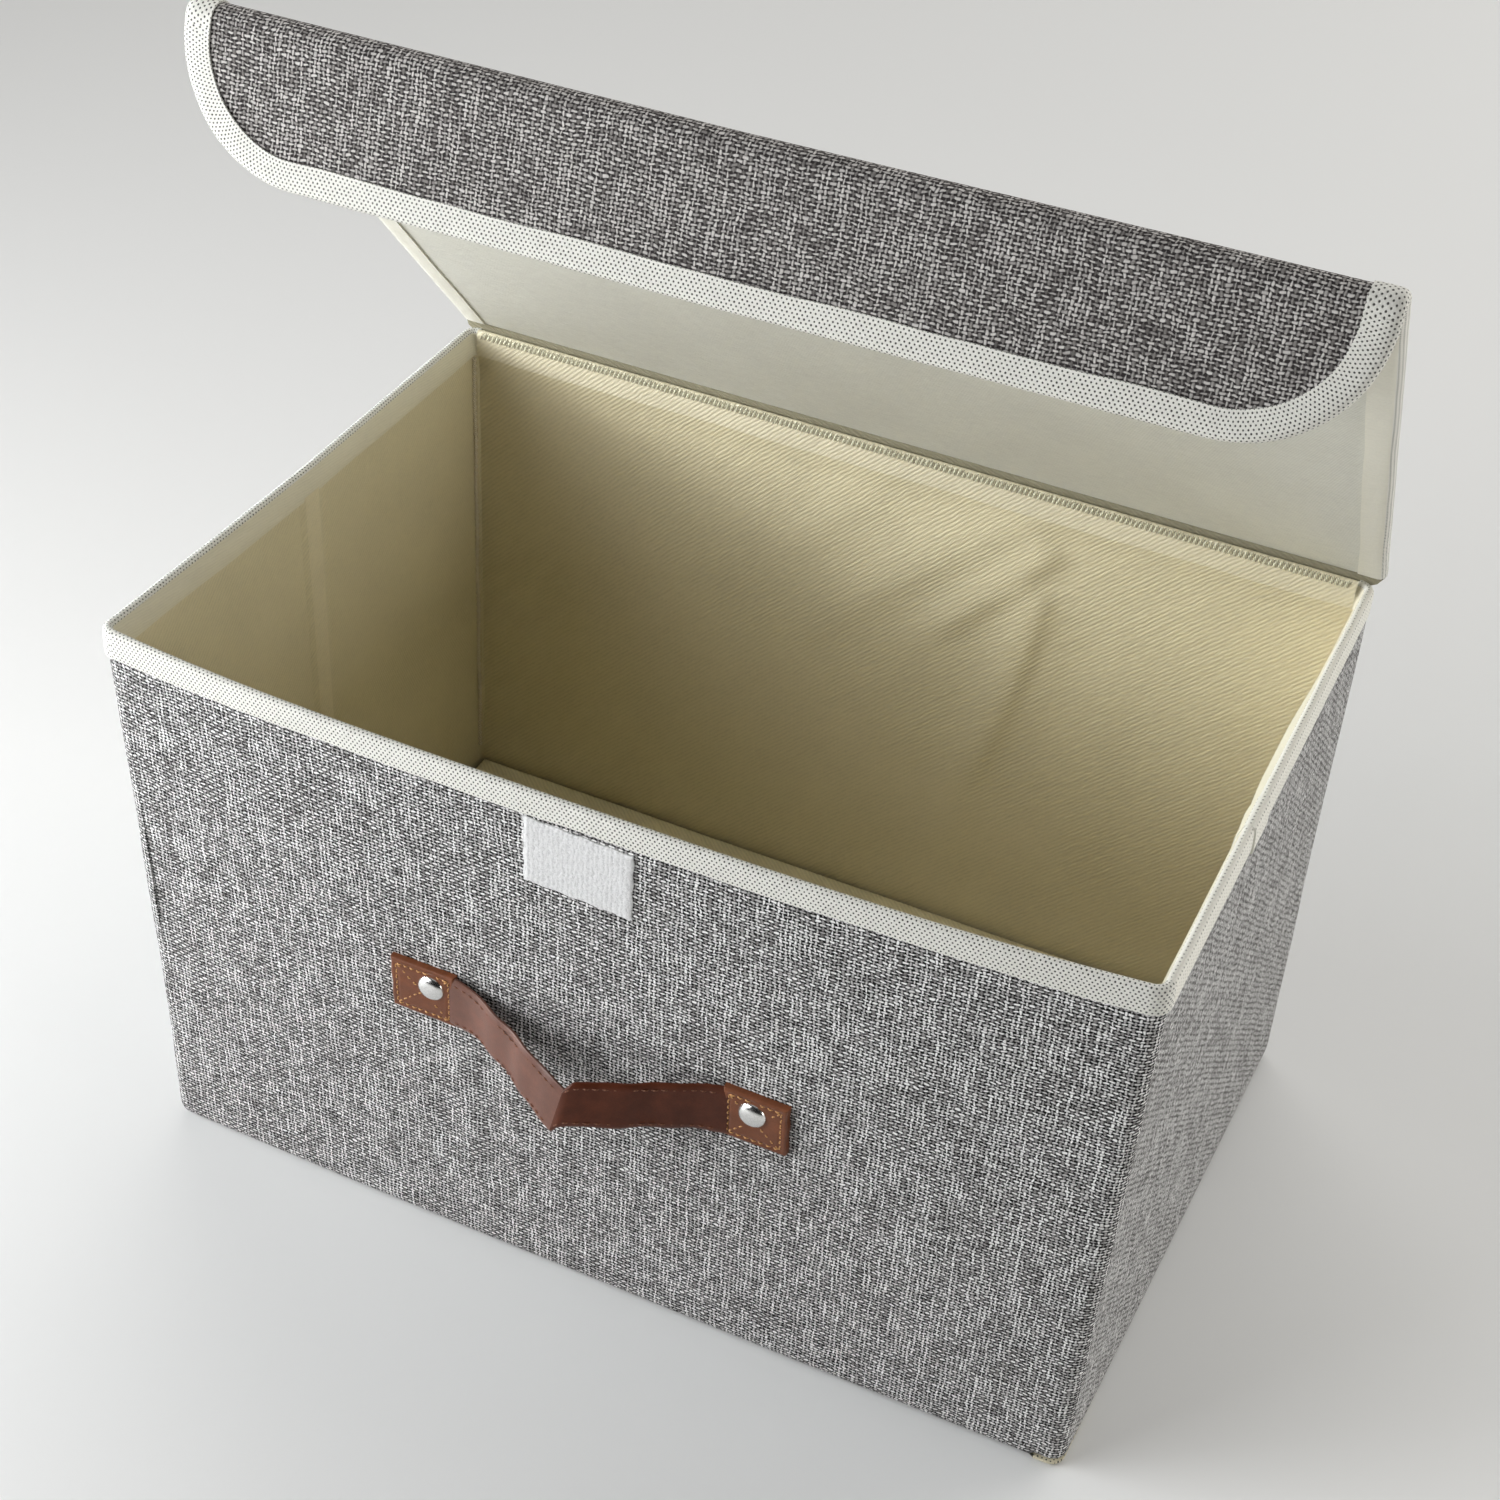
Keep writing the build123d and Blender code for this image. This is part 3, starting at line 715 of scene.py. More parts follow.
# the crease strip of each side wall stands slightly proud between two pressed lines
ys_all = PY
strip = np.zeros_like(PY)
for a, b in (SEG["left"], SEG["right"]):
    y = PY[:, a:b]
    s = 0.45 * smooth01((4.4 - np.abs(y + 3.0)) / 1.4)
    s = s - 0.28 * np.exp(-((np.abs(y + 3.0) - 4.6) / 0.6) ** 2)
    strip[:, a:b] = s
inner = inner + strip
IN_LIN = S_LIN - N_LIN * (LIN_IN + inner)[..., None]
OUT_LIN = S_LIN - N_LIN * (LIN_IN + np.minimum(inner, 0) - T_LIN - 0.02)[..., None]
UV_LIN = np.stack([UL + 40, ZL + 40], -1)
LINING = layer("lining", IN_LIN, OUT_LIN, UV_LIN, 8.0, M_LINING, "lining")
# the pressed strip along the left side's crease is a little paler
me = LINING["left_mid"].data
me.materials.append(M_LINING_PALE)
for f in me.polygons:
    if -6.4 < f.center[1] * 1000 < 0.2:
        f.material_index = 1

# ------------------------------------------------------------------- rim tape
S_RIM = shell(np.array([158.0, 160.0]))
N_RIM = ring_normals(S_RIM)[0]
N_RIM = N_RIM * np.array([1, 1, 0])
N_RIM = N_RIM / np.linalg.norm(N_RIM, axis=1, keepdims=True)
S_RIM = shell(np.array([H]))[0]


def tape_profile(u, back, lean=0.0):
    lo = 154.9 + 0.30 * wave(u * 2.1, 0.0, 0.3)
    li = 155.1 + 0.30 * wave(u * 1.9, 40.0, 1.1)
    puff = 0.10 * wave(u * 3.0, 10.0, 0.7)
    arc = np.linspace(0, math.pi, 9)
    if back:
        o = [(-0.95, 158.2), (-0.95, 159.0), (-1.05, 160.0), (-1.15, 161.2)]
        top = [(-2.32 + 1.17 * math.cos(a), 161.4 + 1.5 * math.sin(a)) for a in arc]
    else:
        o = [(0.42, lo), (0.52 + puff, lo + 0.8), (0.50 + puff, 158.4), (0.46, 160.6)]
        top = [(-0.86 + 1.32 * math.cos(a), 160.9 + 1.5 * math.sin(a)) for a in arc]
    i = [(-3.46, 161.0), (-3.46 - 0.5 * puff - 0.42 * lean, 158.4), (-3.44 - 0.9 * lean, li + 0.8), (-3.38 - lean, li)]
    ret = [(-3.02 - lean, li), (-3.02 - 0.42 * lean, 158.4), (-3.02, 161.0)]
    if not back:
        i[0], i[1] = (-2.38, 160.4), (-3.16 - 0.5 * puff - 0.42 * lean, 158.0)
        ret[1], ret[2] = (-2.74 - 0.42 * lean, 158.0), (-1.94, 160.4)
    outer = o + top[1:-1] + i
    if back:
        ret += [(-2.32 + 0.75 * math.cos(a), 161.3 + 1.1 * math.sin(a)) for a in arc[::-1][1:-1:2]]
        ret += [(-1.55, 161.0), (-1.45, 159.5), (-1.35, 158.2)]
    else:
        ret += [(-0.86 + 0.88 * math.cos(a), 160.8 + 1.1 * math.sin(a)) for a in arc[::-1][1:-1:2]]
        ret += [(0.02, 160.6), (0.02, 158.4), (0.02, lo)]
    return np.array(outer + ret)


def tape_rings(a, b, back=False):
    rings, uvs = [], []
    for j in range(a, b):
        p = S_RIM[j]
        # along the middle of the right side the tape's inner leg stands off the wall
        lean = 1.3 * float(smooth01((p[1] + 25) / 30) * smooth01((56 - p[1]) / 34)) if p[0] > 0 else 0.0
        prof = tape_profile(U_COL[j], back, lean)
        if SEG["front"][0] <= j < SEG["front"][1]:
            # the front rim hangs a little between its corners
            e = 2 * (j - SEG["front"][0]) / (SEG["front"][1] - SEG["front"][0] - 1) - 1
            prof[:, 1] -= 1.3 * (1 - e ** 4) * np.clip((prof[:, 1] - 154.9) / 7.5, 0, 1)
        n = N_RIM[j]
        ring = np.stack([p[0] + n[0] * prof[:, 0], p[1] + n[1] * prof[:, 0], prof[:, 1]], 1)
        v = np.concatenate([[0], np.cumsum(np.linalg.norm(np.diff(prof, axis=0), axis=1))])
        rings.append(ring)
        uvs.append(np.stack([np.full(len(v), U_COL[j] + 40), v + 30], 1))
    return np.array(rings), np.array(uvs)


def leg_mats(R, first):
    """Material of each face of a folded tape: plain from the given point of its section onwards."""
    n, m = R.shape[:2]
    return [1 if j >= first else 0 for i in range(n - 1) for j in range(m)] + [0, 0]


for seg, (a, b) in split(3.0).items():
    halves = [("right_mid_front", cols_between("right", -3, 0), "right_front"), ("right_mid_rear", cols_between("right", 0, 3), "right_rear")] if seg == "right_mid" else [(seg, (a, b), None)]
    for nm, (c, d), body in halves:
        R, UVT = tape_rings(c, d, seg == "back")
        if seg == "back":
            # its inner leg is the lining cloth itself, turned over the top edge
            UVT[..., 1] = R[..., 2] + 40
            mats = [M_TAPE, M_LINING_TOP]
        else:
            mats = [M_TAPE_FINE if nm.startswith("right") or nm == "corner_br" else M_TAPE, M_EDGE]
        ob = sweep(f"rim_tape_{nm}", R, UVT, mats, leg_mats(R, 0 if seg == "back" else 10))
        if body:
            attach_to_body(ob, body)
        else:
            attach(ob, seg, 3.0)

# the tape's two ends lap over each other on the right-hand rim
a, b = cols_between("right", -24, -12)
R, UVT = tape_rings(a, b)
C = R.mean(axis=1, keepdims=True)
mid = (S_RIM[a:b] - N_RIM[a:b] * 1.5)[:, None, :] * np.array([1, 1, 0]) + np.array([0, 0, 158.7])
R = mid + (R - mid) * np.array([1.22, 1.22, 1.0]) + np.array([0, 0, 0.12])
R[:, :, 2] = np.where(R[:, :, 2] < 157, R[:, :, 2] - 0.5, R[:, :, 2])
ob = sweep("rim_tape_lap", R, UVT + np.array([3.1, 0.3]), [M_TAPE_FINE, M_EDGE], leg_mats(R, 10))
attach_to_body(ob, "right_front")

# ----------------------------------------------------------------- base band
Z_BAND = np.array([15.02, 12.5, 9.5, 7.5, 5.8, 4.5, 3.4, 2.4, 1.6, 0.95, 0.45, 0.12, 0.0, 0.0])
IN_BAND = np.array([0, 0, 0, 0, 0, 0.02, 0.12, 0.35, 0.7, 1.2, 1.85, 2.7, 3.8, 7.5])
S_BAND = shell(np.maximum(Z_BAND, 0.0))
nb = ring_normals(shell(np.array([6.0, 8.0])))[0] * np.array([1, 1, 0])
nb = nb / np.linalg.norm(nb, axis=1, keepdims=True)
UBd, _ = np.meshgrid(U_COL, Z_BAND)
S_BAND = S_BAND - nb[None] * IN_BAND[:, None, None]
# a narrow strip of the pale bottom cloth shows below the right wall towards the front corner
pk = smooth01((-40 - S_BAND[0, :, 1]) / 30) * (S_BAND[0, :, 0] > 120)
lift = 1.7 * pk[None, :] * np.clip((4.5 - Z_BAND) / 4.5, 0, 1)[:, None]
S_BAND[..., 2] += lift
vb = np.concatenate([[0], np.cumsum(np.linalg.norm(np.diff(np.stack([IN_BAND, Z_BAND], 1), axis=0), axis=1))])
UV_BAND = np.stack([UBd + 40, np.repeat((Z_BAND[0] + 40 - vb)[:, None], len(U_COL), 1)], -1)
inn = np.zeros_like(S_BAND)
inn[:] = S_BAND
tz = np.array([0, 0, 0, 0, 0, 0, 0.05, 0.15, 0.3, 0.5, 0.6, 0.7, 0.8, 0.8])
tx = np.array([0.8, 0.8, 0.8, 0.8, 0.8, 0.8, 0.78, 0.72, 0.65, 0.55, 0.45, 0.3, 0.1, 0.0])
inn = S_BAND - nb[None] * tx[:, None, None]
inn[..., 2] += tz[:, None]
BAND = slab("base_band", S_BAND, inn, UV_BAND, M_LINEN)
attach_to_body(BAND, "back_wall")

# inner face of the base band, in lining cloth
Z_BL = np.array([15.0, 11.0, 7.0, 3.2])
S_BL = shell(Z_BL)
nbl = nb[None]
UV_BL = np.stack([np.repeat(U_COL[None] + 40, 4, 0), np.repeat((Z_BL + 40)[:, None], len(U_COL), 1)], -1)
BLIN = slab("base_band_lining", S_BL - nbl * 2.85, S_BL - nbl * 2.5, UV_BL, M_LINING)
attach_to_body(BLIN, "back_wall")


def rounded_rect(hx, hy, r, n=8):
    pts = []
    for cx, cy, a0 in ((hx - r, hy - r, 0), (-hx + r, hy - r, 90), (-hx + r, -hy + r, 180), (hx - r, -hy + r, 270)):
        for i in range(n + 1):
            a = math.radians(a0 + 90 * i / n)
            pts.append((cx + r * math.cos(a), cy + r * math.sin(a)))
    return np.array(pts)


def plate(name, hx, hy, z_top, z_bot, mat, center=(0, 0), nx=57, ny=37, warp=None, round_=1.2, uvo=(40, 40)):
    """A thin padded sheet with softened edges: a fine grid on both faces, drawn together at the rim."""
    tx = np.linspace(-1, 1, nx)
    ty = np.linspace(-1, 1, ny)
    # finer steps towards the edges
    tx = np.sign(tx) * (1 - (1 - np.abs(tx)) ** 1.35)
    ty = np.sign(ty) * (1 - (1 - np.abs(ty)) ** 1.35)
    X, Y = np.meshgrid(tx * hx, ty * hy)
    ex, ey = hx - np.abs(X), hy - np.abs(Y)
    e = np.minimum(ex, ey)
    drop = np.where(e < round_, round_ - np.sqrt(np.maximum(round_ ** 2 - (round_ - e) ** 2, 0)), 0)
    mid = (z_top + z_bot) / 2
    half = (z_top - z_bot) / 2
    drop = np.minimum(drop, half * 0.9)
    Zt, Zb = z_top - drop, z_bot + drop
    if warp is not None:
        w = warp(X + center[0], Y + center[1])
        Zt = Zt + w
        Zb = Zb + np.minimum(w, 0.0)
    top = np.stack([X + center[0], Y + center[1], Zt], -1)
    bot = np.stack([X + center[0], Y + center[1], Zb], -1)
    uv = np.stack([X + hx + uvo[0], Y + hy + uvo[1]], -1)
    return slab(name, top, bot, uv, mat)


# bottom cloth under the bin, and the turned-in seam allowance lying on it
_foot = outline(0.0)
ctr = np.array([(_foot[:, 0].max() + _foot[:, 0].min()) / 2, (_foot[:, 1].max() + _foot[:, 1].min()) / 2])


def foot_sheet(name, inset, z0, z1, mat, hole=None, peek=0.0):
    """A sheet following the bin's footprint; with hole it is a flat ring that wide."""
    k = len(_foot) - 1
    n2 = nb[:-1, :2]
    ins = np.full(k, inset)
    if peek:
        ins = ins - peek * pk[:-1]
    edge = _foot[:-1] - n2 * ins[:, None]
    rows = []
    if hole is None:
        for s in np.concatenate([np.linspace(1, 0.02, 22), [0.0008]]):
            rows.append(ctr + (edge - ctr) * s)
    else:
        # mitred at the corners
        inner = np.clip(edge, edge.min(axis=0) + hole, edge.max(axis=0) - hole)
        for s in np.linspace(0, 0.97, 4):
            rows.append(edge + (inner - edge) * s)
    G = np.array(rows)
    G = np.concatenate([G, G[:, :1]], 1)
    top = np.concatenate([G, np.full(G.shape[:2] + (1,), z1)], 2)
    bot = np.concatenate([G, np.full(G.shape[:2] + (1,), z0)], 2)
    uv = G - G.min(axis=(0, 1)) + 40
    return slab(name, top, bot, uv, mat)


BOTTOM = foot_sheet("base_cloth_bottom", 3.0, 0.85, 1.45, M_TAPE_IN, None, 2.6)
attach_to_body(BOTTOM, "back_wall")
SEAM = foot_sheet("base_seam_allowance", 4.2, 1.5, 8.9, M_LINEN, hole=9.0)
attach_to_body(SEAM, "back_wall")


# floor insert: a covered board lying in the bin
def floor_warp(x, y):
    return 0.12 * wave(x * 1.4, y * 1.4, 1.9) + 0.2 * smooth01((-x - 40) / 80) * smooth01((y - 10) / 60)


# its cover takes the paler, painted-light copy of the lining
FLOOR = plate("floor_cover", 125.4, 74.8, 11.95, 9.15, LIT_FLOOR_CLOTH_MAT, (0, 5.4), 65, 45, floor_warp, 1.2)
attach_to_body(FLOOR, "base_insert")
FBOARD = plate("floor_board", 123.5, 72.9, 11.2, 9.6, M_CARD, (0, 5.4), 9, 9, None, 0.3)
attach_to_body(FBOARD, "base_insert")

# ------------------------------------------------------------------------ lid
def lid_angle(x):
    x = np.asarray(x, float)
    return np.radians(49.0 + np.where(x > 0, 0.5, 0.04) * x / 134.0)


def lid_x(s, yl):
    """Across the lid, s from -1 to 1, at distance yl from the hinge."""
    k = np.clip(yl / FOLD_L, 0, 1)
    return s * (131.6 + 2.6 * k) + 3.2 * k


def lid_pt(s, yl, off):
    s, yl, off = np.broadcast_arrays(np.asarray(s, float), np.asarray(yl, float), np.asarray(off, float))
    x = lid_x(s, yl)
    th = lid_angle(x)
    y = HINGE_Y - yl * np.cos(th) + (off + 0.1) * np.sin(th)
    z = HINGE_Z + yl * np.sin(th) + (off + 0.1) * np.cos(th)
    return np.stack([x, y, z], -1)


def ridge_pt(s, alpha, r):
    """Round the flap's fold line: alpha from 0 (lid side) to the fold angle (flap side)."""
    s, alpha, r = np.broadcast_arrays(np.asarray(s, float), np.asarray(alpha, float), np.asarray(r, float))
    c = lid_pt(s, np.full(s.shape, FOLD_L), np.full(s.shape, FOLD_OFF))
    th = lid_angle(c[..., 0])
    uy, uz = np.sin(th), np.cos(th)
    fy, fz = -np.cos(th), np.sin(th)
    ca, sa = np.cos(alpha), np.sin(alpha)
    return np.stack([c[..., 0], c[..., 1] + r * (uy * ca + fy * sa), c[..., 2] + r * (uz * ca + fz * sa)], -1)


def flap_pt(s, t, o, x=None):
    """On the flap: t down from the fold line, o outwards from it."""
    s, t, o = np.broadcast_arrays(np.asarray(s, float), np.asarray(t, float), np.asarray(o, float))
    c = lid_pt(s, np.full(s.shape, FOLD_L), np.full(s.shape, FOLD_OFF))
    th = lid_angle(c[..., 0])
    uy, uz = np.sin(th), np.cos(th)
    fy, fz = -np.cos(th), np.sin(th)
    cp, sp = math.cos(FOLD_REST), math.sin(FOLD_REST)
    dy, dz = fy * cp - uy * sp, fz * cp - uz * sp
    oy, oz = fy * sp + uy * cp, fz * sp + uz * cp
    return np.stack([c[..., 0], c[..., 1] + dy * t + oy * o, c[..., 2] + dz * t + oz * o], -1)


LID_W = 134.2
S_ACROSS = np.linspace(-1, 1, 69)
YL = np.concatenate([np.linspace(7, 160, 34), [163, 166.5]])
SS, YY = np.meshgrid(S_ACROSS * 0.992, YL)
crown = 0.5 * wave(SS * 134, YY, 0.9) * np.clip((1 - np.abs(SS)) * 8, 0, 1)
LID_TOP = lid_pt(SS, YY, 2.95 + 0.25 * crown)
LID_BOT = lid_pt(SS, YY, 2.15 + 0 * crown)
UV_LID = np.stack([SS * LID_W + 180, 260 + YY], -1)
LID_CLOTH = slab("lid_cloth", LID_TOP, LID_BOT, UV_LID, M_LINEN)
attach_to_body(LID_CLOTH, "lid")
SS2, YY2 = np.meshgrid(S_ACROSS * 0.990, np.concatenate([[0.7, 2.4], np.linspace(6, 160, 34), [163, 166.5]]))
under = 0.16 * wave(SS2 * 134, YY2, 3.9) * np.clip((1 - np.abs(SS2)) * 6, 0, 1) * np.clip(YY2 / 20, 0, 1)
LID_LINING = slab("lid_lining", lid_pt(SS2, YY2, 0.02 + under), lid_pt(SS2, YY2, 0.42 + np.maximum(under, 0)), np.stack([SS2 * LID_W + 180, YY2 + 40], -1), M_LIDLIN)
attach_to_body(LID_LINING, "lid")
SB, YB = np.meshgrid(np.linspace(-0.985, 0.985, 15), np.linspace(5, 165, 15))
LID_BOARD = slab("lid_board", lid_pt(SB, YB, 2.05), lid_pt(SB, YB, 0.62), np.stack([SB * LID_W + 180, YB], -1), M_CARD)
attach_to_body(LID_BOARD, "lid")


def u_profile(out_w, in_w, half, t=0.42, lip=0.45, wob=0.0):
    """Tape folded over an edge: (distance in from the edge, height from the middle) round its closed section."""
    arc = np.linspace(math.pi / 2, -math.pi / 2, 9)
    top = half + t
    o = [(out_w + wob, half + 0.06 + t * 0.85), (out_w - 0.8 + wob, top), (out_w * 0.5, top + 0.05), (1.6, top)]
    e = [(1.6 - (1.6 + lip) * math.cos(a), top * math.sin(a)) for a in arc][1:-1]
    i = [(1.6, -top), (in_w * 0.5, -top - 0.03), (in_w - 0.8 + wob, -top), (in_w + wob, -half - 0.06 - t * 0.85)]
    r = [(in_w + wob, -half - 0.02), (1.6, -half - 0.02)]
    r += [(1.6 - (1.6 + lip - t) * math.cos(a), (half + 0.02) * math.sin(a)) for a in arc[::-1]][1:-1:2]
    r += [(1.6, half + 0.02), (out_w + wob, half + 0.02)]
    return np.array(o + e + i + r)


def lid_side_tape(name, side, yl0, yl1, n=30):
    rings, uvs = [], []
    for yl in np.linspace(yl0, yl1, n):
        prof = u_profile(7.1, 6.6, 1.5, wob=0.25 * float(wave(yl * 2.0, side * 30.0)))
        edge = lid_x(float(side), yl)
        pts = []
        for d, h in prof:
            x = edge - side * d
            s = (x - 3.2 * np.clip(yl / FOLD_L, 0, 1)) / (131.6 + 2.6 * np.clip(yl / FOLD_L, 0, 1))
            pts.append(lid_pt(s, yl, 1.5 + h))
        rings.append(np.array(pts))
        v = np.concatenate([[0], np.cumsum(np.linalg.norm(np.diff(prof, axis=0), axis=1))])
        uvs.append(np.stack([np.full(len(v), yl + 40), v + 30], 1))
    R = np.array(rings)
    return sweep(name, R, np.array(uvs), [M_TAPE, M_EDGE_IVORY], leg_mats(R, 10))


for side, nm in ((-1, "left"), (1, "right")):
    ob = lid_side_tape(f"lid_tape_{nm}", side, 1.2, 166.6)
    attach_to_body(ob, "lid")

# ridge where the lid turns down into its flap
ALPHA = np.linspace(0, FOLD_REST, 13)


def ridge_rows(r_lid, r_flap, yl0, t1):
    rows = []
    for yl in (yl0, (yl0 + FOLD_L - 2.0) / 2, FOLD_L - 2.0):
        rows.append(("lid", yl, r_lid))
    for a in ALPHA:
        k = a / FOLD_REST
        rows.append(("arc", a, r_lid * (1 - k) + r_flap * k))
    for t in (2.0, t1 / 2 + 1.0, t1):
        rows.append(("flap", t, r_flap))
    return rows


def ridge_grid(rows, s):
    P, V, v = [], [], 0.0
    for kind, p, r in rows:
        if kind == "lid":
            q = lid_pt(s, np.full(len(s), p), np.full(len(s), r + FOLD_OFF))
        elif kind == "arc":
            q = ridge_pt(s, np.full(len(s), p), np.full(len(s), r))
        else:
            q = flap_pt(s, np.full(len(s), p), np.full(len(s), r))
        if P:
            v += float(np.linalg.norm(q - P[-1], axis=1).mean())
        P.append(q)
        V.append(v)
    return np.array(P), np.array(V)


s_r = S_ACROSS * 0.992
rows = ridge_rows(4.05, 3.58, 166.3, 5.0)
PT, VT = ridge_grid(rows, s_r)
sag = 0.35 * wave(s_r * 134 * 2.2, 0.0, 1.4)
PB, _ = ridge_grid([(k, p, r - 0.75) for k, p, r in rows], s_r)
uvr = np.stack([np.repeat((s_r * LID_W + 180)[None], len(rows), 0), np.repeat((260 + 166.3 + VT)[:, None], len(s_r), 1)], -1)
# the ridge cloth takes the darkened painted-shade linen
RIDGE = slab("ridge_cloth", PT, PB, uvr, SHADED_LINEN_FLAP_MAT)
FOLD0 = ridge_pt(0.0, 0.0, 4.05) * M
FOLD1 = ridge_pt(0.0, FOLD_REST, 3.58) * M
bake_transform(RIDGE)
rows_i = ridge_rows(1.12, 1.0, 166.0, 5.4)
PT2, VT2 = ridge_grid(rows_i, S_ACROSS * 0.990)
PB2, _ = ridge_grid([(k, p, r + 0.38) for k, p, r in rows_i], S_ACROSS * 0.990)
uvr2 = np.stack([np.repeat((S_ACROSS * LID_W + 180)[None], len(rows_i), 0), np.repeat((40 + 166.0 + VT2)[:, None], len(S_ACROSS), 1)], -1)
RIDGE_LIN = slab("ridge_lining", PT2, PB2, uvr2, M_LIDLIN)
tuple(ridge_pt(0.0, 0.0, 1.1) * M)
tuple(ridge_pt(0.0, FOLD_REST, 1.0) * M)
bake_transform(RIDGE_LIN)

# flap with rounded lower corners
XF = 134.2


def flap_depth(s):
    """How far down the flap reaches at s across."""
    x = np.abs(np.asarray(s, float)) * XF
    c = np.clip(x - (XF - FLAP_R), 0, FLAP_R)
    return FLAP_L - 0.2 - FLAP_R + np.sqrt(np.maximum(FLAP_R ** 2 - c ** 2, 0))


s_f = np.sign(np.linspace(-1, 1, 81)) * (1 - (1 - np.abs(np.linspace(-1, 1, 81))) ** 1.25) * 0.994
tt = np.linspace(0, 1, 14)
SF, TF = np.meshgrid(s_f, tt)
TD = 4.4 + TF * np.maximum(flap_depth(SF) - 0.9 - 4.4, 0.05)
swell = 0.22 * wave(SF * 134 * 1.3, TD * 2.0, 2.6)
FLAP_TOP = flap_pt(SF, TD, 3.55 + swell * np.clip(TF * 4, 0, 1) * np.clip((1 - TF) * 4, 0, 1))
FLAP_BOT = flap_pt(SF, TD, 2.85 + 0 * TD)
v0 = 260 + 166.3 + VT[-1] - 5.0
# the flap cloth takes the darkened painted-shade linen
FLAP_CLOTH = slab("flap_cloth", FLAP_TOP, FLAP_BOT, np.stack([SF * LID_W + 180, v0 + TD], -1), SHADED_LINEN_FLAP_MAT)
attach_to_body(FLAP_CLOTH, "lid_flap")
TDi = 4.8 + TF * np.maximum(flap_depth(SF) - 0.9 - 4.8, 0.05)
FLAP_LIN = slab("flap_lining", flap_pt(SF, TDi, 1.02 + 0 * TDi), flap_pt(SF, TDi, 1.45 + 0 * TDi), np.stack([SF * LID_W + 180, 40 + 166 + VT2[-1] - 5.4 + TDi], -1), M_LIDLIN)
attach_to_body(FLAP_LIN, "lid_flap")
sb = np.linspace(-0.97, 0.97, 41)
SBf, TBf = np.meshgrid(sb, np.linspace(0, 1, 5))
TDb = 5.2 + TBf * np.maximum(flap_depth(SBf) - 2.0 - 5.2, 0.05)
FLAP_BOARD = slab("flap_board", flap_pt(SBf, TDb, 2.75 + 0 * TDb), flap_pt(SBf, TDb, 1.6 + 0 * TDb), np.stack([SBf * LID_W + 180, TDb], -1), M_CARD)
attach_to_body(FLAP_BOARD, "lid_flap")


def flap_path():
    """Down one side of the flap, round its corner, along the bottom and up again: point, inward direction, length."""
    pts = []
    for t in np.linspace(1.2, FLAP_L - 0.2 - FLAP_R, 4):
        pts.append((-XF, t, 1.0, 0.0))
    for a in np.linspace(0, 90, 19)[1:]:
        r = math.radians(a)
        pts.append((-XF + FLAP_R - FLAP_R * math.cos(r), FLAP_L - 0.2 - FLAP_R + FLAP_R * math.sin(r), math.cos(r), -math.sin(r)))
    for x in np.linspace(-XF + FLAP_R, XF - FLAP_R, 61)[1:]:
        pts.append((x, FLAP_L - 0.2, 0.0, -1.0))
    half = [(-x, t, -a, b) for x, t, a, b in pts[:22]][::-1]
    return np.array(pts + half[1:])


FP = flap_path()
LEN = np.concatenate([[0], np.cumsum(np.linalg.norm(np.diff(FP[:, :2], axis=0), axis=1))])
rings, uvs = [], []
for (x, t, ax, at), L in zip(FP, LEN):
    prof = u_profile(6.6, 6.1, 1.3, wob=0.28 * float(wave(L * 2.2, 0.0, 0.2)))
    pin = 1.0
    ring = []
    for d, h in prof:
        ring.append(flap_pt((x + ax * d) / XF, t + at * d, 2.3 + h + 0.08 * math.sin(L * 0.33 + d)))
    rings.append(np.array(ring))
    v = np.concatenate([[0], np.cumsum(np.linalg.norm(np.diff(prof, axis=0), axis=1))])
    uvs.append(np.stack([np.full(len(v), L + 40), v + 30], 1))
FLAP_TAPE = sweep("flap_tape", np.array(rings), np.array(uvs), M_TAPE)
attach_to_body(FLAP_TAPE, "lid_flap")

# the side tape carried round the ridge at each end
for side, nm in ((-1, "left"), (1, "right")):
    rings, uvs = [], []
    stations = [("lid", yl, 0) for yl in (165.8, 168.6, 170.6)] + [("arc", a, 0) for a in ALPHA] + [("flap", t, 0) for t in (1.0, 2.4, 4.2)]
    L = 0.0
    last = None
    for kind, p, _ in stations:
        prof = u_profile(6.9, 6.5, 1.5)
        pts = []
        for d, h in prof:
            s = side * (1 - d / XF)
            if kind == "lid":
                q = lid_pt(s, p, 1.5 + h)
            elif kind == "arc":
                k = p / FOLD_REST
                q = ridge_pt(s, p, (2.6 + h) * (1 - k) + (2.3 + h * 0.88) * k)
            else:
                q = flap_pt(s, p, 2.3 + h * 0.88)
            pts.append(q)
        pts = np.array(pts)
        if last is not None:
            L += float(np.linalg.norm(pts[6] - last[6]))
        last = pts
        rings.append(pts)
        v = np.concatenate([[0], np.cumsum(np.linalg.norm(np.diff(prof, axis=0), axis=1))])
        uvs.append(np.stack([np.full(len(v), L + 206), v + 30], 1))
    ob = sweep(f"ridge_tape_{nm}", np.array(rings), np.array(uvs), M_TAPE)
    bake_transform(ob)

# hinge: the back wall's cloth runs on into the lid, with a lining strip in the crease
th0 = math.radians(49.0)
dY, dZ = -math.cos(th0), math.sin(th0)
nY, nZ = math.sin(th0), math.cos(th0)
xs = np.linspace(-1, 1, 61)
path = [(84.12, 153.5, 0), (84.15, 157.0, 0), (84.2, 159.6, 0), (84.45, 161.6, 0.15), (85.1, 163.3, 0.4)]
for d in (0.4, 1.6, 3.2, 5.2, 8.2):
    path.append((HINGE_Y + nY * 3.1 + dY * d, HINGE_Z + nZ * 3.1 + dZ * d, 1.0))
path = np.array(path)
tang = np.gradient(path[:, :2], axis=0)
tang /= np.linalg.norm(tang, axis=1, keepdims=True)
pn = np.stack([tang[:, 1], -tang[:, 0]], 1)
G, GB = [], []
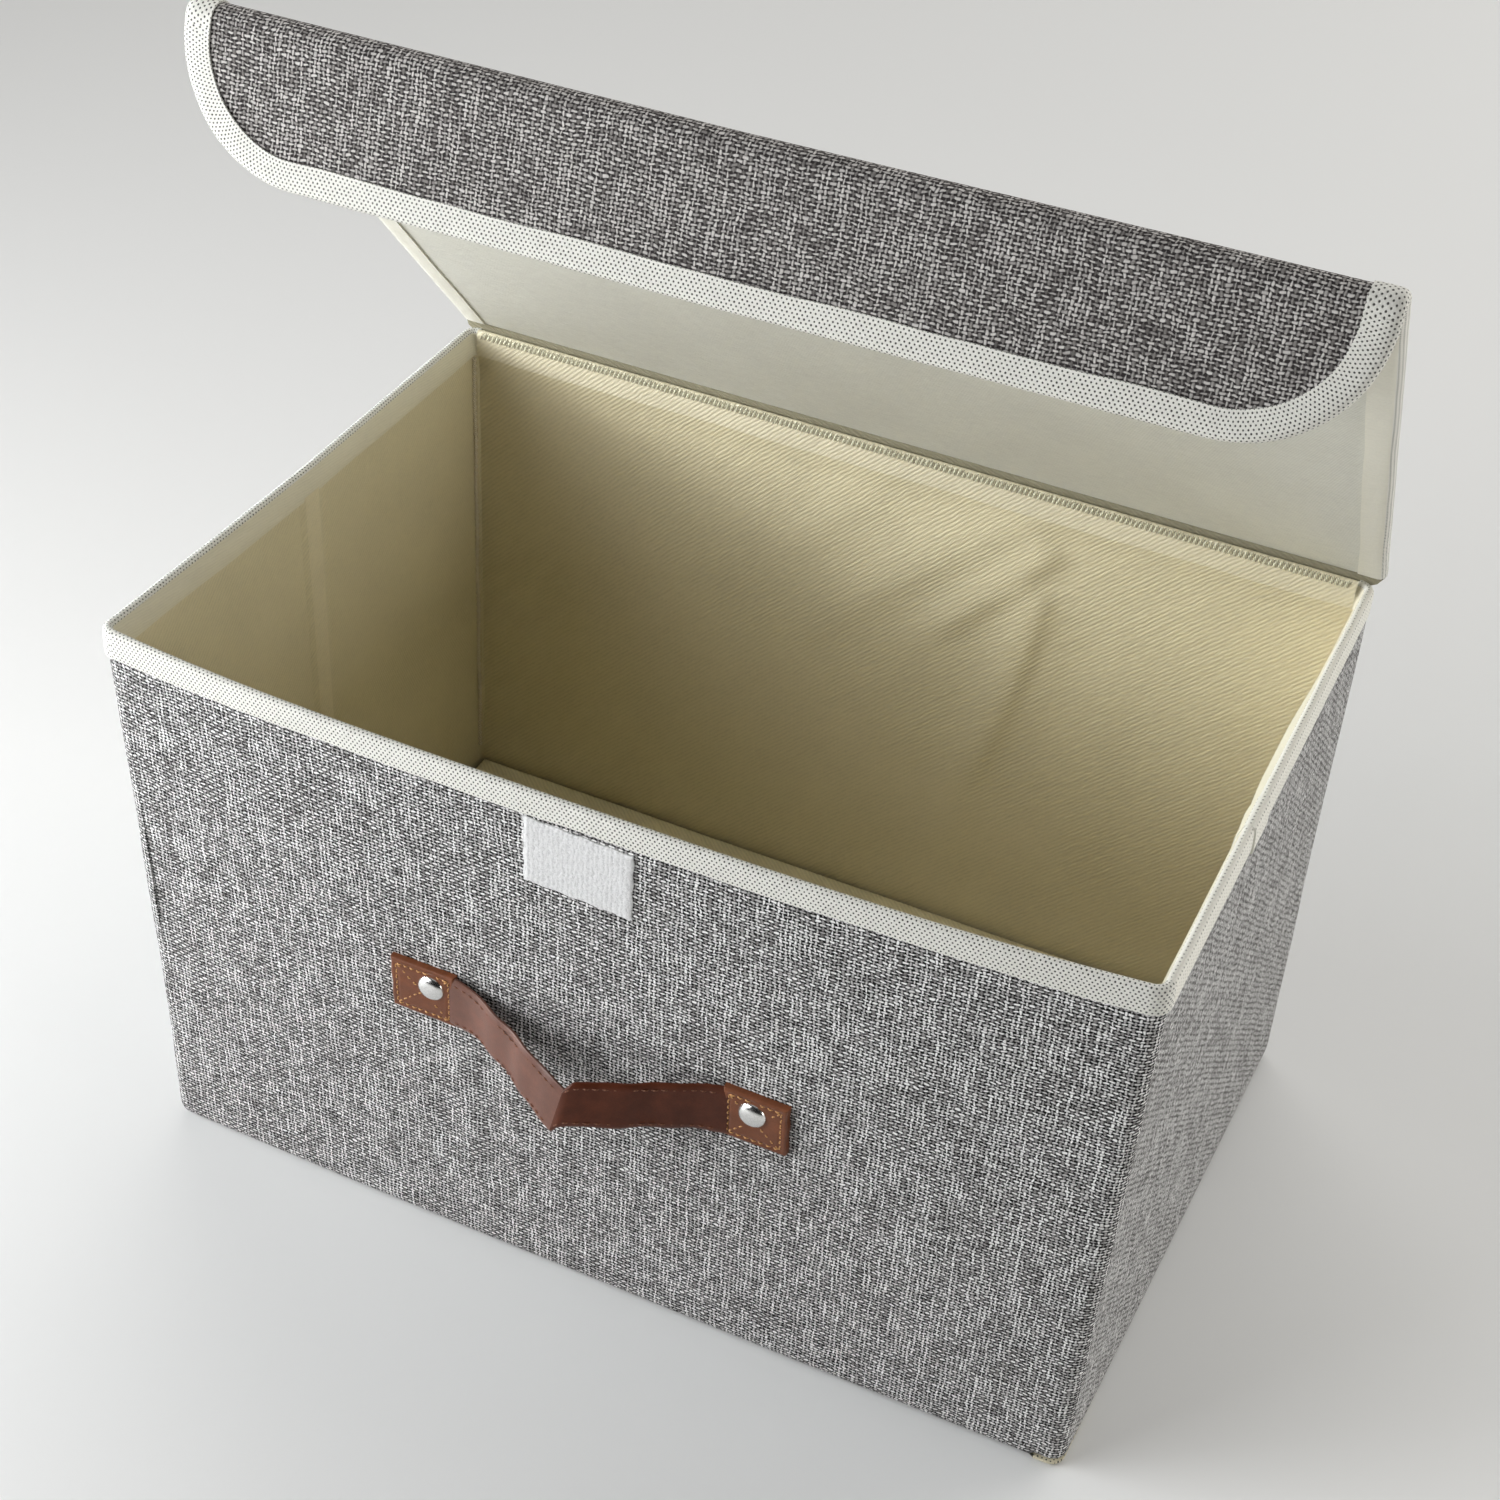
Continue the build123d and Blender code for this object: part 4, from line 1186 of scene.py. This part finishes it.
for (y, z, k), n_ in zip(path, pn):
    hx = 127.4 * (1 - k) + 131.2 * k
    G.append(np.stack([xs * hx, np.full(len(xs), y), np.full(len(xs), z)], 1))
    GB.append(np.stack([xs * hx, np.full(len(xs), y - n_[0] * 0.7), np.full(len(xs), z - n_[1] * 0.7)], 1))
G, GB = np.array(G), np.array(GB)
vv = np.concatenate([[0], np.cumsum(np.linalg.norm(np.diff(path[:, :2], axis=0), axis=1))])
back_mid = (U_COL[SEG["back"][0]] + U_COL[SEG["back"][1] - 1]) / 2
uvh = np.stack([np.repeat((back_mid - xs * 127.4 + 40)[None], len(path), 0), np.repeat((153.5 + 40 + vv)[:, None], len(xs), 1)], -1)
HINGE = slab("hinge_cloth", G, GB, uvh, M_LINEN)
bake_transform(HINGE)
path = [(83.36, 160.4, 0.0), (83.42, 161.4, 0.3), (83.56, 162.4, 0.7)]
for d in (0.3, 1.4, 2.6, 4.4):
    path.append((HINGE_Y + nY * 0.72 + dY * d, HINGE_Z + nZ * 0.72 + dZ * d, 1.0))
path = np.array(path)
tang = np.gradient(path[:, :2], axis=0)
tang /= np.linalg.norm(tang, axis=1, keepdims=True)
pn = np.stack([-tang[:, 1], tang[:, 0]], 1)
G = np.array([np.stack([xs * (127.0 + 4.6 * k), np.full(len(xs), y), np.full(len(xs), z)], 1) for y, z, k in path])
GB = np.array([np.stack([xs * (127.0 + 4.6 * k), np.full(len(xs), y - n_[0] * 0.2), np.full(len(xs), z - n_[1] * 0.2)], 1) for (y, z, k), n_ in zip(path, pn)])
vv = np.concatenate([[0], np.cumsum(np.linalg.norm(np.diff(path[:, :2], axis=0), axis=1))])
uvh = np.stack([np.repeat((xs * 127.0 + 180)[None], len(path), 0), np.repeat((40 + vv)[:, None], len(xs), 1)], -1)
# the crease strip takes the dark olive painted-shade cloth
HINGE_LIN = slab("hinge_lining", G, GB, uvh, CREASE_SHADE_MAT)
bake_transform(HINGE_LIN)

# slanted stitches along the top of the back wall, under the hinge; every other stitch is a low dark olive one, painted
# shade in the gaps between the pale stitches
rows_s = []
xq = -124.6
k = 0
while xq < 124.2:
    j = rng.uniform(-0.10, 0.10, 3)
    y0 = D2 - 3.60
    v, f, uu = stitch((xq + j[0], y0, 160.9 + j[1]), (xq + 0.95, y0 + 0.72, 162.75 + j[2]), (0, -0.8, 0.6), 0.80 if k % 2 else 0.62, 0.28 if k % 2 else 0.16, 0.16)
    rows_s.append((v, f, uu, k % 2))
    xq += 0.66
    k += 1
V, F, U, K = merge("hinge_stitches", rows_s)
HINGE_STITCH = make("hinge_stitches", V, F, U, [SHADE_STITCH_THREAD_MAT, M_THREAD_CREAM], K, True, math.radians(60))
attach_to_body(HINGE_STITCH, "back_wall")

# ------------------------------------------------------------ closure patches
def front_surface(x, z):
    """Point on the outside of the front cloth and its outward normal."""
    x, z = np.broadcast_arrays(np.asarray(x, float), np.asarray(z, float))
    xl = half_left(front_y(np.full(z.shape, -1.0), z), z) + RC
    xr = half_right(front_y(np.full(z.shape, 1.0), z), z) - RC
    t = (x - xl) / (xr - xl) * 2 - 1
    y = front_y(t, z)
    a, b = SEG["front"]
    u = np.interp(x, _mid[a:b, 0], U_COL[a:b])
    y = y - cloth_wave(u, z)
    return y


cx, cz = -3.9, 143.4
nx, nz = 67, 47
gx, gz = np.meshgrid(np.linspace(-13.8, 13.8, nx), np.linspace(-9.7, 9.7, nz))
ex = np.minimum(13.8 - np.abs(gx), 9.7 - np.abs(gz))
X = cx + gx + 0.026 * gz + 0.16 * np.sin(gz * 1.1 + 0.4) * (13.8 - np.abs(gx) < 1.0)
Z = cz + gz - 0.026 * gx + 0.16 * np.sin(gx * 0.9) * (9.7 - np.abs(gz) < 1.0)
Y = front_surface(X, Z)
pile = 0.60 + 0.14 * rng.rand(nz, nx) + 0.06 * np.sin(gx * 2 * math.pi / 1.25)
pile = np.where(ex < 0.9, 0.32 + 0.33 * np.sqrt(np.clip(ex / 0.9, 0, 1)), pile)
LOOP = slab("loop_patch_pile", np.stack([X, Y - pile, Z], -1), np.stack([X, Y + 0.05, Z], -1), np.stack([gx + 60, gz + 60], -1), M_LOOP)
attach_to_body(LOOP, "front_wall")

# hook patch on the inside of the flap, just above its tape
gs, gt = np.meshgrid(np.linspace(-12.5, 12.5, 61), np.linspace(-8, 8, 41))
e2 = np.minimum(12.5 - np.abs(gs), 8 - np.abs(gt))
hp = 0.28 + 0.20 * (0.5 + 0.5 * np.sin(gs * 2 * math.pi / 1.25)) * (0.5 + 0.5 * np.sin(gt * 2 * math.pi / 1.6))
hp = np.where(e2 < 0.8, 0.20, hp)
HOOK = slab("hook_patch_pile", flap_pt((gs - 3.9) / XF, 16.6 + gt, 1.02 - hp), flap_pt((gs - 3.9) / XF, 16.6 + gt, 1.06 + 0 * gs), np.stack([gs + 60, gt + 60], -1), M_HOOK)
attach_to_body(HOOK, "lid_flap")

# --------------------------------------------------------------------- handle
def tab(name, x0, x1, z0, z1, thick, rx, rz):
    """A sewn-down strap end: softened edges, a boxed cross of stitches and a slight dimple round the rivet."""
    nx, nz = 41, 39
    gx, gz = np.meshgrid(np.linspace(-1, 1, nx), np.linspace(-1, 1, nz))
    gx = np.sign(gx) * (1 - (1 - np.abs(gx)) ** 1.5)
    gz = np.sign(gz) * (1 - (1 - np.abs(gz)) ** 1.5)
    hx, hz = (x1 - x0) / 2, (z1 - z0) / 2
    X, Z = (x0 + x1) / 2 + gx * hx, (z0 + z1) / 2 + gz * hz
    e = np.minimum(hx - np.abs(gx * hx), hz - np.abs(gz * hz))
    rr = 0.7
    drop = np.where(e < rr, rr - np.sqrt(np.maximum(rr * rr - (rr - e) ** 2, 0)), 0)
    groove = 0.22 * np.exp(-((e - 1.6) / 0.35) ** 2)
    dimple = 0.25 * np.exp(-(((X - rx) ** 2 + (Z - rz) ** 2) / 16.0))
    top = thick - drop - groove - dimple
    X2 = X + 0.12 * np.sin(Z * 0.9) * (np.abs(gx) > 0.95)
    Yw = front_surface(X, Z)
    V = [np.stack([X2, Yw - top, Z], -1), np.stack([X2, Yw + 0.15, Z], -1)]
    n, m = X.shape
    f = quads(n, m) + quads(n, m, n * m) + rim_quads(n, m, 0, n * m)
    uv = np.stack([gx * hx + 60, gz * hz + 60], -1).reshape(-1, 2)
    parts = [(np.concatenate([V[0].reshape(-1, 3), V[1].reshape(-1, 3)]), f, np.concatenate([uv, uv]), 0)]
    ins = 1.6
    c = [(x0 + ins, z0 + ins), (x1 - ins, z0 + ins), (x1 - ins, z1 - ins), (x0 + ins, z1 - ins)]
    lines = [(c[0], c[1]), (c[1], c[2]), (c[2], c[3]), (c[3], c[0]), (c[0], c[2]), (c[1], c[3])]
    for li, (p, q) in enumerate(lines):
        p, q = np.array(p), np.array(q)
        L = np.linalg.norm(q - p)
        k = max(3, int(round(L / 1.85)))
        for i in range(k):
            a0 = p + (q - p) * (i + 0.10) / k
            a1 = p + (q - p) * (i + 0.88) / k
            mid = (a0 + a1) / 2
            if np.hypot(mid[0] - rx, mid[1] - rz) < 4.3:
                continue
            jit = rng.uniform(-0.12, 0.12, 4)
            off = thick - 0.20
            P0 = np.array([a0[0] + jit[0], float(front_surface(a0[0], a0[1])) - off, a0[1] + jit[1]])
            P1 = np.array([a1[0] + jit[2], float(front_surface(a1[0], a1[1])) - off, a1[1] + jit[3]])
            v, ff, uu = stitch(P0, P1, (0, -1, 0), 0.42, 0.24, 0.12)
            parts.append((v, ff, uu, 1))
    V, F, U, K = merge(name, parts)
    ob = make(name, V, F, U, [M_TAB, M_THREAD], K, True, math.radians(50))
    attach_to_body(ob, "front_wall")
    return ob


RIV = [(-43.4, 88.6), (41.9, 86.6)]
TAB_L = tab("handle_tab_left", -54.6, -37.0, 78.2, 94.4, 1.9, *RIV[0])
TAB_R = tab("handle_tab_right", 34.2, 50.8, 76.6, 92.4, 1.9, *RIV[1])


def lathe(prof, n=40):
    """Rings of (radius, height) points about an axis."""
    a = np.linspace(0, 2 * math.pi, n, endpoint=False)
    return np.array([[(r * math.cos(t), h, r * math.sin(t)) for t in a] for r, h in prof])


def rivet(name, x, z, prof, y0, outward, mat):
    R = lathe(prof)
    R = R * np.array([1, outward, 1]) + np.array([x, y0, z])
    uv = np.stack([R[..., 0] - x + 30, R[..., 2] - z + 30], -1)
    ob = sweep(name, R, uv, mat, sharp=math.radians(40))
    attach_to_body(ob, "front_wall")
    return ob


CAP = [(3.0, -0.35), (3.45, -0.20), (3.55, 0.10), (3.42, 0.42), (3.05, 0.78), (2.45, 1.10), (1.75, 1.32), (1.0, 1.45), (0.4, 1.49), (0.02, 1.50)]
BACK = [(0.02, 0.42), (0.6, 0.40), (1.25, 0.22), (1.6, 0.36), (2.4, 0.52), (3.1, 0.46), (3.5, 0.25), (3.6, 0.0), (3.4, -0.25)]
for (x, z), nm in zip(RIV, ("left", "right")):
    y = float(front_surface(x, z))
    rivet(f"rivet_cap_{nm}", x, z, CAP, y - 1.75, -1, M_METAL)
    rivet(f"rivet_back_{nm}", x, z, BACK, y + 3.1, 1, M_METAL)
    rivet(f"rivet_post_{nm}", x, z, [(1.2, -2.0), (1.25, -1.6), (1.25, 2.9), (1.2, 3.2)], y, 1, M_METAL)


def spline(P, n):
    """A smooth curve through the rows of P, evenly spread."""
    P = np.asarray(P, float)
    Q = np.concatenate([2 * P[:1] - P[1:2], P, 2 * P[-1:] - P[-2:-1]])
    out = []
    for i in range(len(P) - 1):
        p0, p1, p2, p3 = Q[i], Q[i + 1], Q[i + 2], Q[i + 3]
        for t in np.linspace(0, 1, 24, endpoint=False):
            out.append(0.5 * (2 * p1 + (p2 - p0) * t + (2 * p0 - 5 * p1 + 4 * p2 - p3) * t * t + (3 * p1 - p0 - 3 * p2 + p3) * t ** 3))
    out.append(P[-1])
    out = np.array(out)
    L = np.concatenate([[0], np.cumsum(np.linalg.norm(np.diff(out[:, :3], axis=0), axis=1))])
    s = np.linspace(0, L[-1], n)
    return np.stack([np.interp(s, L, out[:, k]) for k in range(out.shape[1])], 1), s


yl_ = float(front_surface(-36.5, 86.0)) - 1.15
yr_ = float(front_surface(34.0, 84.0)) - 1.15
LEFT = [
    (-38.2, yl_, 94.2, -38.2, yl_, 78.8),
    (-31.6, yl_ - 1.0, 93.2, -31.6, yl_ - 1.0, 78.7),
    (-23.1, yl_ - 4.4, 91.9, -23.2, yl_ - 4.9, 78.2),
    (-13.4, yl_ - 8.5, 90.1, -14.1, yl_ - 9.9, 76.6),
    (-4.8, yl_ - 11.8, 87.6, -6.8, yl_ - 13.8, 74.6),
    (-0.2, yl_ - 13.2, 86.3, -2.6, yl_ - 15.5, 73.1),
]
RIGHT = [
    (-0.2, yl_ - 13.2, 86.3, -2.6, yl_ - 15.5, 73.1),
    (0.6, yl_ - 13.0, 87.5, -1.7, yl_ - 15.6, 74.3),
    (2.2, yl_ - 12.4, 88.9, 0.0, yl_ - 15.3, 76.1),
    (7.5, yr_ - 10.6, 89.5, 6.0, yr_ - 13.1, 76.5),
    (17.0, yr_ - 6.7, 90.3, 16.7, yr_ - 7.7, 76.7),
    (27.4, yr_ - 2.1, 91.2, 27.3, yr_ - 2.3, 76.9),
    (35.6, yr_, 92.0, 35.6, yr_, 76.9),
]


def strap_half(name, st, n, mat):
    """Half of the strap as a ruled band: rounded edges, a stitch line near each edge."""
    C, s = spline(st, n)
    T, B = C[:, :3], C[:, 3:]
    mid = (T + B) / 2
    tan = np.gradient(mid, axis=0)
    tan /= np.linalg.norm(tan, axis=1, keepdims=True)
    wid = T - B
    nor = np.cross(tan, wid)
    nor /= np.linalg.norm(nor, axis=1, keepdims=True)
    nor = np.where(nor[:, 1:2] > 0, -nor, nor)
    half = 0.78
    nw = 15
    k = np.linspace(0, 1, nw)
    rings, uvs = [], []
    for i in range(n):
        L = np.linalg.norm(wid[i])
        wv = 0.10 * math.sin(s[i] * 0.55 + 0.4)
        e = np.minimum(k, 1 - k) * L
        th = half * np.sqrt(np.clip(1 - ((0.8 - np.minimum(e, 0.8)) / 0.8) ** 2, 0.12, 1))
        th = th - 0.14 * np.exp(-((e - 1.5) / 0.35) ** 2)
        line = B[i] + wid[i] * k[:, None]
        line = line + wid[i] / L * (wv * (k[:, None] - 0.5) * 2)
        line = line + nor[i] * (0.34 * math.sin(s[i] * 0.47 + 0.9) * math.sin(math.pi * i / (n - 1)) ** 2)
        top = line + nor[i] * th[:, None]
        bot = line - nor[i] * (half * np.sqrt(np.clip(1 - ((0.8 - np.minimum(e, 0.8)) / 0.8) ** 2, 0.12, 1)))[:, None]
        rings.append(np.concatenate([top, bot[::-1]]))
        uvs.append(np.concatenate([np.stack([np.full(nw, s[i] + 60), k * L + 60], 1), np.stack([np.full(nw, s[i] + 60), k[::-1] * L + 90], 1)]))
    R, UVs = np.array(rings), np.array(uvs)
    m = R.shape[1]
    f = quads(n, m, 0, True) + [tuple(range(m))[::-1], tuple(range((n - 1) * m, n * m))]
    parts = [(R.reshape(-1, 3), f, UVs.reshape(-1, 2), 0)]
    for edge in (0, 1):
        pos = 1.2
        while pos < s[-1] - 2.6:
            q = []
            for p in (pos, pos + 1.75):
                Ti = np.array([np.interp(p, s, T[:, c]) for c in range(3)])
                Bi = np.array([np.interp(p, s, B[:, c]) for c in range(3)])
                ni = np.array([np.interp(p, s, nor[:, c]) for c in range(3)])
                w = Ti - Bi
                L = np.linalg.norm(w)
                q.append(((Ti - w / L * 1.5 if edge else Bi + w / L * 1.5) + ni * (half - 0.12), ni))
            v, ff, uu = stitch(q[0][0], q[1][0], q[0][1], 0.42, 0.20, 0.10)
            parts.append((v, ff, uu, 1))
            pos += 2.25
    V, F, U, K = merge(name, parts)
    return make(name, V, F, U, [mat, M_THREAD_BROWN], K, True, math.radians(55))


# left half in the painted-sheen copy of the leather, right half in the painted-shade copy
STRAP_L = strap_half("strap_left", LEFT, 60, SHEEN_STRAP_MAT)
STRAP_R = strap_half("strap_right", RIGHT, 64, SHADED_STRAP_MAT)
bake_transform(STRAP_L)
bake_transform(STRAP_R)

# -------------------------------------------------------- inner corner seams
def bead(name, x, y, z0, z1, r):
    n = int((z1 - z0) / 0.55)
    rings, uvs = [], []
    for i in range(n):
        z = z0 + (z1 - z0) * i / (n - 1)
        rr = r * (0.72 + 0.28 * math.sin(i * 2 * math.pi / 4.0)) * (0.9 + 0.2 * rng.rand())
        a = np.linspace(0, 2 * math.pi, 8, endpoint=False)
        o = 0.15 * math.sin(z * 0.21)
        rings.append(np.stack([x + o + rr * np.cos(a), y + rr * np.sin(a), np.full(8, z)], 1))
        uvs.append(np.stack([np.full(8, z), a * r], 1))
    ob = sweep(name, np.array(rings), np.array(uvs), M_THREAD_PALE)
    return ob


for nm, x, y in (("left", -126.6, 80.0), ("right", 126.6, 80.0)):
    ob = bead(f"corner_seam_{nm}", x, y, 16.5, 154.6, 0.70)
    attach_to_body(ob, "back_wall")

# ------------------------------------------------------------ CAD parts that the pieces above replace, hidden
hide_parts("front_outer")
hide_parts("back_outer")
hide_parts("front_lining")
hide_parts("back_lining")
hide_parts("front_rim_tape")
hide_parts("back_rim_tape")
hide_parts("front_board")
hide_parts("back_board")
for b in ("left_rear", "left_front", "right_front", "right_rear"):
    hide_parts(f"{b}_outer")
    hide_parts(f"{b}_lining")
    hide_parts(f"{b}_rim_tape")
    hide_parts(f"{b}_board")
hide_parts("base_cloth")
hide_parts("seam_allowance")
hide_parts("base_cover")
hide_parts("base_board")
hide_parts("loop_patch")
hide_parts("hook_patch")
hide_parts("handle_ends")
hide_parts("rivet_caps")
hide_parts("rivet_backs")
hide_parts("rivet_posts")
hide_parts("lid_outer")
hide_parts("lid_lining")
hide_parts("lid_board")
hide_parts("lid_tape_left")
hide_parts("lid_tape_right")
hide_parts("flap_outer")
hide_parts("flap_lining")
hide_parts("flap_board")
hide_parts("flap_tape")
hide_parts("handle_strap")

# ---------------------------------------------------------------------- stage
def floor_material():
    n = Nodes("floor_pale")
    t = n.nt.nodes.new("ShaderNodeTexCoord")
    f = n.nt.nodes.new("ShaderNodeTexNoise")
    f.inputs["Scale"].default_value = 0.8
    n.link(t.outputs["Object"], f.inputs["Vector"])
    col = n.ramp(f.outputs["Fac"], [(0.3, (0.77, 0.772, 0.765)), (0.7, (0.80, 0.802, 0.795))])
    return n.set(Base_Color=col, Roughness=0.6, Specular_IOR_Level=0.2)


def stage_floor():
    me = bpy.data.meshes.new("floor_sheet")
    n = 41
    g = np.linspace(-6, 6, n)
    X, Y = np.meshgrid(g, g)
    P = np.stack([X, Y, np.full_like(X, -0.0002)], -1).reshape(-1, 3)
    me.from_pydata([tuple(p) for p in P], [], quads(n, n))
    me.materials.append(floor_material())
    ob = bpy.data.objects.new("floor_sheet", me)
    bpy.context.scene.collection.objects.link(ob)


stage_floor()


def area(name, loc, target, size, power, color=(1, 1, 1)):
    li = bpy.data.lights.new(name, "AREA")
    li.shape = "RECTANGLE"
    li.size, li.size_y = size
    li.energy = power
    li.color = color
    ob = bpy.data.objects.new(name, li)
    bpy.context.scene.collection.objects.link(ob)
    d = np.array(target, float) - np.array(loc, float)
    z = -d / np.linalg.norm(d)
    x = np.cross((0, 0, 1), z)
    x /= np.linalg.norm(x)
    y = np.cross(z, x)
    m = Matrix.Identity(4)
    for i in range(3):
        m[i][0], m[i][1], m[i][2], m[i][3] = x[i], y[i], z[i], loc[i]
    ob.matrix_world = m
    return ob


COOL = (0.972, 0.986, 1.0)
area("key_low", (-0.62, -0.42, 0.16), (-0.05, -0.05, 0.10), (0.55, 0.40), 1.35, COOL)
area("key_side", (-0.60, -0.38, 0.30), (0.05, 0.05, 0.12), (0.40, 0.25), 2.6, COOL)
area("key_left", (-0.60, -0.55, 0.50), (-0.05, -0.05, 0.10), (0.70, 0.55), 4.3, COOL)
kick = area("kick", (-0.62, -0.10, 0.30), (0.10, 0.08, 0.130), (0.22, 0.14), 0.15, (0.86, 0.95, 1.0))
kick.data.spread = 0.75
area("fill_right", (1.20, -0.05, 0.30), (0.1, 0, 0.08), (1.0, 0.4), 5.2, (1.0, 0.985, 0.95))
area("right_back", (0.9, 1.2, 1.1), (0, 0, 0.1), (1.4, 1.2), 14.0, (1.0, 0.985, 0.95))
area("top_back", (-0.5, 1.4, 1.9), (0, 0, 0.1), (2.0, 1.6), 19.0, (1.0, 0.99, 0.97))
area("top", (0.0, 0.0, 2.0), (0, 0.01, 0.1), (2.0, 2.0), 4.6, (1.0, 0.99, 0.97))
world = bpy.data.worlds.new("studio")
world.use_nodes = True
bg = world.node_tree.nodes["Background"]
bg.inputs[0].default_value = (1.0, 0.985, 0.96, 1)
bg.inputs[1].default_value = 0.01
bpy.context.scene.world = world
bpy.context.scene.view_settings.view_transform = "Standard"

# --------------------------------------------------------------------- camera
cam = bpy.data.cameras.new("view")
cam.sensor_width = 36.0
cam.sensor_fit = "HORIZONTAL"
cam.lens = 62.529
cam.clip_start = 0.01
co = bpy.data.objects.new("view", cam)
bpy.context.scene.collection.objects.link(co)
right = (0.903841, 0.424852, 0.050719)
up = (-0.299087, 0.542576, 0.784958)
back = (0.305972, -0.724646, 0.617470)
mw = Matrix.Identity(4)
for i in range(3):
    mw[i][0], mw[i][1], mw[i][2] = right[i], up[i], back[i]
    mw[i][3] = (0.200088, -0.476721, 0.523608)[i]
co.matrix_world = mw
bpy.context.scene.camera = co

# ------------------------------------------------------------- area of one face of a closed sheet
def half_area(ob):
    return sum(p.area for p in ob.data.polygons) / 2
